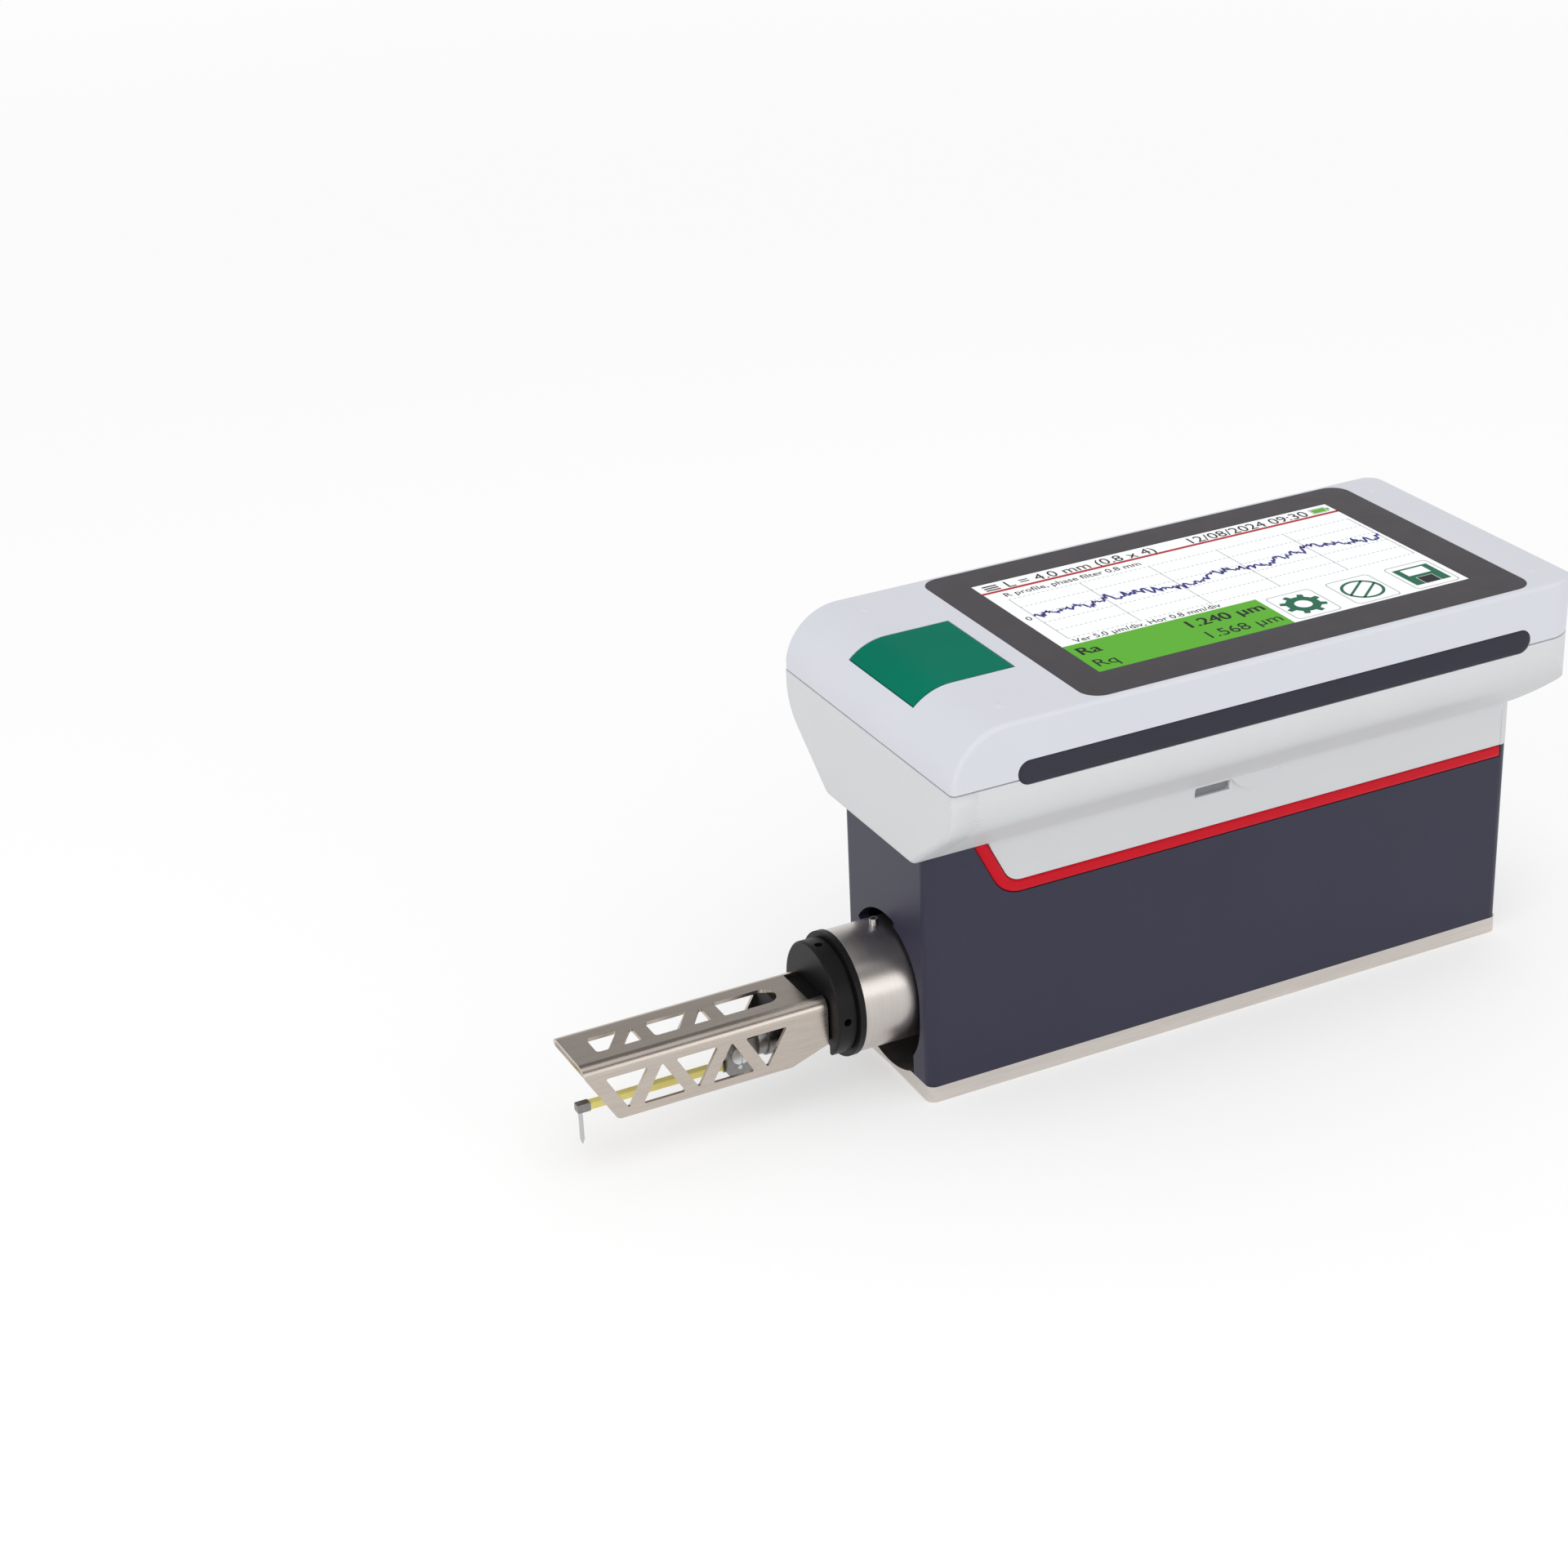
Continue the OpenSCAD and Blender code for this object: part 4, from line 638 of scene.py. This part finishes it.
# words of the screen: text, place along and across, height of the capitals and the side that is lined up
wording = [
    ("L = 4.0 mm (0.8 x 4)", 7.0, ruleV + 1.3, 3.3, "LEFT"),
    ("12/08/2024 09:30", 88.0, ruleV + 1.3, 3.3, "RIGHT"),
    ("R profile, phase filter 0.8 mm", 3.8, ruleV - 3.3, 2.1, "LEFT"),
    ("Ver 5.0 µm/div, Hor 0.8 mm/div", 3.8, screen["result"][3] + 0.6, 2.0, "LEFT"),
    ("0", 1.2, zeroV - 0.9, 2.0, "LEFT"),
    ("Rq", 1.2, 2.4, 3.6, "LEFT"),
    ("1.568 µm", 48.2, 2.4, 3.6, "RIGHT"),
]
boldWording = [("Ra", 1.2, 9.2, 3.7, "LEFT"), ("1.240 µm", 48.0, 9.2, 3.7, "RIGHT")]
menuSign = {"from": 1.8, "to": 5.4, "foot": 1.5, "pitch": 1.1, "line": 0.55, "lines": 3}


def darkWords():
    marks = [words(*line) for line in wording]
    for line in boldWording:
        marks += boldWords(*line)
    for k in range(menuSign["lines"]):
        v = ruleV + menuSign["foot"] + menuSign["pitch"] * k
        marks.append(shape(rect(menuSign["from"], v, menuSign["to"], v + menuSign["line"]), 1))
    return marks + [cardBar(*keys["cardDoor"])]


# battery sign in the header: its cell, the charge in it and the knob at its end
battery = {
    "cell": (89.2, 1.5, 93.6, 4.3),   # from the screen's side and from the rule
    "line": 0.25,
    "gap": 0.4,   # from the cell's outline to the charge
    "knob": (93.6, 94.2),
    "knobGap": 0.8,
}
cellLeft, cellFoot, cellRight, cellHead = battery["cell"]
cellFoot, cellHead = ruleV + cellFoot, ruleV + cellHead


def chargeSign():
    gap, knobGap = battery["gap"], battery["knobGap"]
    knobLeft, knobRight = battery["knob"]
    return [shape(rect(cellLeft + gap, cellFoot + gap, cellRight - gap, cellHead - gap), 0),
            shape(rect(knobLeft, cellFoot + knobGap, knobRight, cellHead - knobGap), 0)]


def chargeCell():
    line = battery["line"]
    hollow = rect(cellLeft + line, cellFoot + line, cellRight - line, cellHead - line)
    return [shape(rect(cellLeft, cellFoot, cellRight, cellHead), 0, hollow)]


# short bars in rows and columns, made by one tree
def barTree():
    tree = bpy.data.node_groups.new("rowsOfBars", "GeometryNodeTree")
    sizes = {}
    for name, kind in (("Columns", "NodeSocketInt"), ("Rows", "NodeSocketInt"),
                       ("Length", "NodeSocketFloat"), ("Height", "NodeSocketFloat"),
                       ("Dash", "NodeSocketVector"), ("Middle", "NodeSocketVector"),
                       ("Ink", "NodeSocketMaterial")):
        sizes[name] = tree.interface.new_socket(name, in_out="INPUT", socket_type=kind).identifier
    tree.interface.new_socket("Geometry", in_out="OUTPUT", socket_type="NodeSocketGeometry")
    given = put(tree, "NodeGroupInput").outputs
    points = put(tree, "GeometryNodeMeshGrid", {"Vertices X": given["Columns"], "Vertices Y": given["Rows"],
                                                "Size X": given["Length"], "Size Y": given["Height"]})
    dash = put(tree, "GeometryNodeMeshCube", {"Size": given["Dash"]})
    rows = put(tree, "GeometryNodeInstanceOnPoints", {"Points": points.outputs["Mesh"],
                                                      "Instance": dash.outputs["Mesh"]})
    solid = put(tree, "GeometryNodeRealizeInstances", {"Geometry": rows.outputs["Instances"]})
    moved = put(tree, "GeometryNodeTransform", {"Geometry": solid.outputs["Geometry"],
                                                "Translation": given["Middle"]})
    inked = put(tree, "GeometryNodeSetMaterial", {"Geometry": moved.outputs["Geometry"],
                                                  "Material": given["Ink"]})
    put(tree, "NodeGroupOutput", {"Geometry": inked.outputs["Geometry"]})
    return tree, sizes


barMaker, barSizes = barTree()


# the tree's result as a plain mesh piece
def growBars(name, values, body):
    piece = bpy.data.objects.new(name, bpy.data.meshes.new(name))
    bpy.context.scene.collection.objects.link(piece)
    maker = piece.modifiers.new("maker", "NODES")
    maker.node_group = barMaker
    for key, value in values.items():
        maker[barSizes[key]] = value
    bpy.context.view_layer.update()
    grown = bpy.data.meshes.new_from_object(piece.evaluated_get(bpy.context.evaluated_depsgraph_get()))
    piece.modifiers.remove(maker)
    piece.data = grown
    grown.name = name
    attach(piece, body)


def plotGrid():
    low, high = layer(0)
    middle = (fieldX + (plotLeft + plotRight) / 2 * mm, fieldY + (plotFoot + plotHead) / 2 * mm,
              (low + high) / 2)
    length, height = (plotRight - plotLeft) * mm, (plotHead - plotFoot) * mm
    dash, line, thick = plot["dash"] * mm, plot["gridLine"] * mm, screen["ink"] * mm
    growBars("plotRows", {"Columns": plot["dashes"], "Rows": plot["dashedRows"], "Length": length - dash,
                          "Height": height, "Dash": (dash, line, thick), "Middle": middle,
                          "Ink": inkGrey}, "housing")
    growBars("plotColumns", {"Columns": plot["uprights"], "Rows": 1, "Length": length, "Height": 0.0,
                             "Dash": (line, height, thick), "Middle": middle,
                             "Ink": inkGrey}, "housing")


def dressScreen():
    pieces = [
        ("resultField", [shape(rect(*screen["result"]), 0)], inkGreen),
        ("headerRule", [shape(rect(0, ruleV, lenMm, ruleV + screen["rule"]), 0)], inkRed),
        ("profileTrace", [traceRibbon()], inkBlue),
        ("keyFrames", keyFrames(), inkGrey),
        ("keySigns", keySigns(), inkForest),
        ("screenWords", darkWords(), inkDark),
        ("chargeSign", chargeSign(), inkGreen),
        ("chargeCell", chargeCell(), inkGrey),
    ]
    for name, meshes, ink in pieces:
        gather(name, meshes, ink, "housing")
    plotGrid()


dressScreen()
print("screen drawn")

# insides of the two sockets at the rear, in millimetres
sockets = {
    "tongue": (4.6, 6.0, 0.8),   # length, width and thickness of the data socket's tongue
    "tongueRound": 0.3,
    "tongueBack": 1.2,   # how far the tongue and the pin stay behind the sockets' faces
    "contacts": 5,
    "contactPitch": 1.1,
    "contact": (3.6, 0.6, 0.12),
    "contactBack": 0.3,   # from the tongue's end
    "pin": (5.0, 0.55),   # length and radius of the charge socket's pin
    "pinRound": 0.4,
    "pinSides": 24,
    "holeMiddle": 2.6,   # from the top of the charge socket
}


def dressDataSocket():
    low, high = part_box("data_socket")
    length, width, thick = [v * mm for v in sockets["tongue"]]
    end = high.x - sockets["tongueBack"] * mm
    y, z = (low.y + high.y) / 2, (low.z + high.z) / 2
    plate = softRect(end - length, y - width / 2, end, y + width / 2, sockets["tongueRound"] * mm)
    tongue = prism(plate, z - thick / 2, z + thick / 2)
    gather("dataTongue", [tongue], finishes["black_plastic"], "housing")
    bar = [v * mm for v in sockets["contact"]]
    middle = (end - bar[0] / 2 - sockets["contactBack"] * mm, y, z + thick / 2 + bar[2] / 2)
    span = sockets["contactPitch"] * mm * (sockets["contacts"] - 1)
    growBars("dataContacts", {"Columns": 1, "Rows": sockets["contacts"], "Length": 0.0, "Height": span,
                              "Dash": bar, "Middle": middle, "Ink": finishes["nut_brass"]},
             "housing")


def dressChargeSocket():
    low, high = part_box("charge_socket")
    length, radius = [v * mm for v in sockets["pin"]]
    soft = sockets["pinRound"] * mm
    end = high.x - sockets["tongueBack"] * mm
    y, z = (low.y + high.y) / 2, high.z - sockets["holeMiddle"] * mm
    stations = [(end - length, radius)]
    for turn in [math.radians(angle) for angle in (0, 30, 60, 90)]:
        stations.append((end - soft + soft * math.sin(turn), radius - soft + soft * math.cos(turn)))
    mesh = bmesh.new()
    rings = [[mesh.verts.new((x, *point)) for point in ringPoints(y, z, r, sockets["pinSides"])]
             for x, r in stations]
    skinRings(mesh, rings)
    gather("chargePin", [mesh], finishes["screw_steel"], "housing")


dressDataSocket()
dressChargeSocket()
print("sockets dressed")

studio = {
    "floorSize": 6.0,
    "floorTones": ("#f2f2f2", "#c4c4c4"),   # for the light it gives back, and for the eye
    "floorLift": 0.46,   # what the floor adds to look white
    "floorFade": (0.5, 1.6),   # distance over which the floor turns into the white ground
    "white": "#ffffff",
    "ambient": 0.8,
    "ceiling": 0.2,   # how bright the room overhead looks in a gloss
    "horizon": (0.1, 0.7),   # rise over which the room darkens from white to that
    "lamps": {   # place in metres, size in metres, power in watts
        "keyLamp": ((-1.1, -0.55, 0.6), 0.7, 2.7),
        "fillLamp": ((0.42, -0.95, 0.42), 0.5, 1.0),
        "topLamp": ((0.0, -0.35, 1.3), 0.9, 2.4),
    },
    "aim": (0.0, 0.0, 0.05),
}


# 1 for what is seen, also in a gloss or through glass, and 0 for the light that falls on the part
def seenRays(tree):
    path = put(tree, "ShaderNodeLightPath").outputs
    plain = put(tree, "ShaderNodeMath", {0: path["Is Camera Ray"], 1: path["Is Glossy Ray"]},
                operation="MAXIMUM")
    every = put(tree, "ShaderNodeMath", {0: plain.outputs[0], 1: path["Is Transmission Ray"]},
                operation="MAXIMUM")
    return every.outputs[0]


# floor: pale matt card that stays near white to the eye and still takes the shadow
def paleCard():
    material, tree, place = startMaterial("paleCard")
    white = hexColour(studio["white"])
    seen = seenRays(tree)
    lift = put(tree, "ShaderNodeMath", {0: seen, 1: studio["floorLift"]}, operation="MULTIPLY")
    lit, shown = [hexColour(tone) for tone in studio["floorTones"]]
    tone = put(tree, "ShaderNodeMix", {"Factor": seen, "A": lit, "B": shown}, data_type="RGBA")
    card = put(tree, "ShaderNodeBsdfDiffuse", {"Color": tone.outputs["Result"]})
    glow = put(tree, "ShaderNodeEmission", {"Color": white, "Strength": lift.outputs[0]})
    near = put(tree, "ShaderNodeAddShader", {0: card.outputs[0], 1: glow.outputs[0]})
    away = put(tree, "ShaderNodeVectorMath", {0: place}, operation="LENGTH")
    first, last = studio["floorFade"]
    fade = put(tree, "ShaderNodeMapRange", {"Value": away.outputs["Value"], "From Min": first,
                                            "From Max": last})
    far = put(tree, "ShaderNodeEmission", {"Color": white, "Strength": 1.0})
    ground = put(tree, "ShaderNodeMixShader", {0: fade.outputs["Result"], 1: near.outputs[0],
                                               2: far.outputs[0]})
    put(tree, "ShaderNodeOutputMaterial", {"Surface": ground.outputs[0]})
    return material


def layFloor():
    half = studio["floorSize"] / 2
    data = bpy.data.meshes.new("floor")
    data.from_pydata([(x, y, 0) for x, y in rect(-half, -half, half, half)], [], [(0, 1, 2, 3)])
    data.materials.append(paleCard())
    floor = bpy.data.objects.new("floor", data)
    bpy.context.scene.collection.objects.link(floor)


def hangLamps():
    for name, (place, size, power) in studio["lamps"].items():
        light = bpy.data.lights.new(name, "AREA")
        light.size = size
        light.energy = power
        lamp = bpy.data.objects.new(name, light)
        bpy.context.scene.collection.objects.link(lamp)
        lamp.location = place
        lamp.rotation_euler = (Vector(studio["aim"]) - Vector(place)).to_track_quat("-Z", "Y").to_euler()


# room: even light on the part, and a white that darkens upwards where it is seen
def lightRoom():
    world = bpy.data.worlds.new("studio")
    world.use_nodes = True
    tree = world.node_tree
    tree.nodes.clear()
    way = put(tree, "ShaderNodeTexCoord").outputs["Generated"]
    rise = put(tree, "ShaderNodeSeparateXYZ", {"Vector": way}).outputs["Z"]
    low, high = studio["horizon"]
    room = put(tree, "ShaderNodeMapRange", {"Value": rise, "From Min": low, "From Max": high,
                                            "To Min": 1.0, "To Max": studio["ceiling"]})
    level = put(tree, "ShaderNodeMix", {"Factor": seenRays(tree), "A": studio["ambient"],
                                        "B": room.outputs["Result"]})
    sky = put(tree, "ShaderNodeBackground", {"Color": hexColour(studio["white"]),
                                             "Strength": level.outputs["Result"]})
    put(tree, "ShaderNodeOutputWorld", {"Surface": sky.outputs[0]})
    bpy.context.scene.world = world


layFloor()
hangLamps()
lightRoom()

view = {   # place in metres, turns in degrees, lens and sensor in millimetres
    "place": (-0.30885, -0.52058, 0.35887),
    "azimuth": -25.302,
    "elevation": 26.151,
    "roll": -2.663,
    "lens": 70.15,
    "sensor": 36.0,
    "nearest": 0.01,
}


def setCamera():
    data = bpy.data.cameras.new("camera")
    data.lens = view["lens"]
    data.sensor_width = view["sensor"]
    data.clip_start = view["nearest"]
    camera = bpy.data.objects.new("camera", data)
    bpy.context.scene.collection.objects.link(camera)
    a, e = math.radians(view["azimuth"]), math.radians(view["elevation"])
    back = Vector((math.sin(a) * math.cos(e), -math.cos(a) * math.cos(e), math.sin(e)))
    level = (-back).to_track_quat("-Z", "Y").to_matrix()
    turned = level @ Matrix.Rotation(math.radians(view["roll"]), 3, "Z")
    camera.rotation_mode = "QUATERNION"
    camera.rotation_quaternion = turned.to_quaternion()
    camera.location = view["place"]
    bpy.context.scene.camera = camera


setCamera()
bpy.context.scene.view_settings.view_transform = "Standard"
print("studio and camera set")
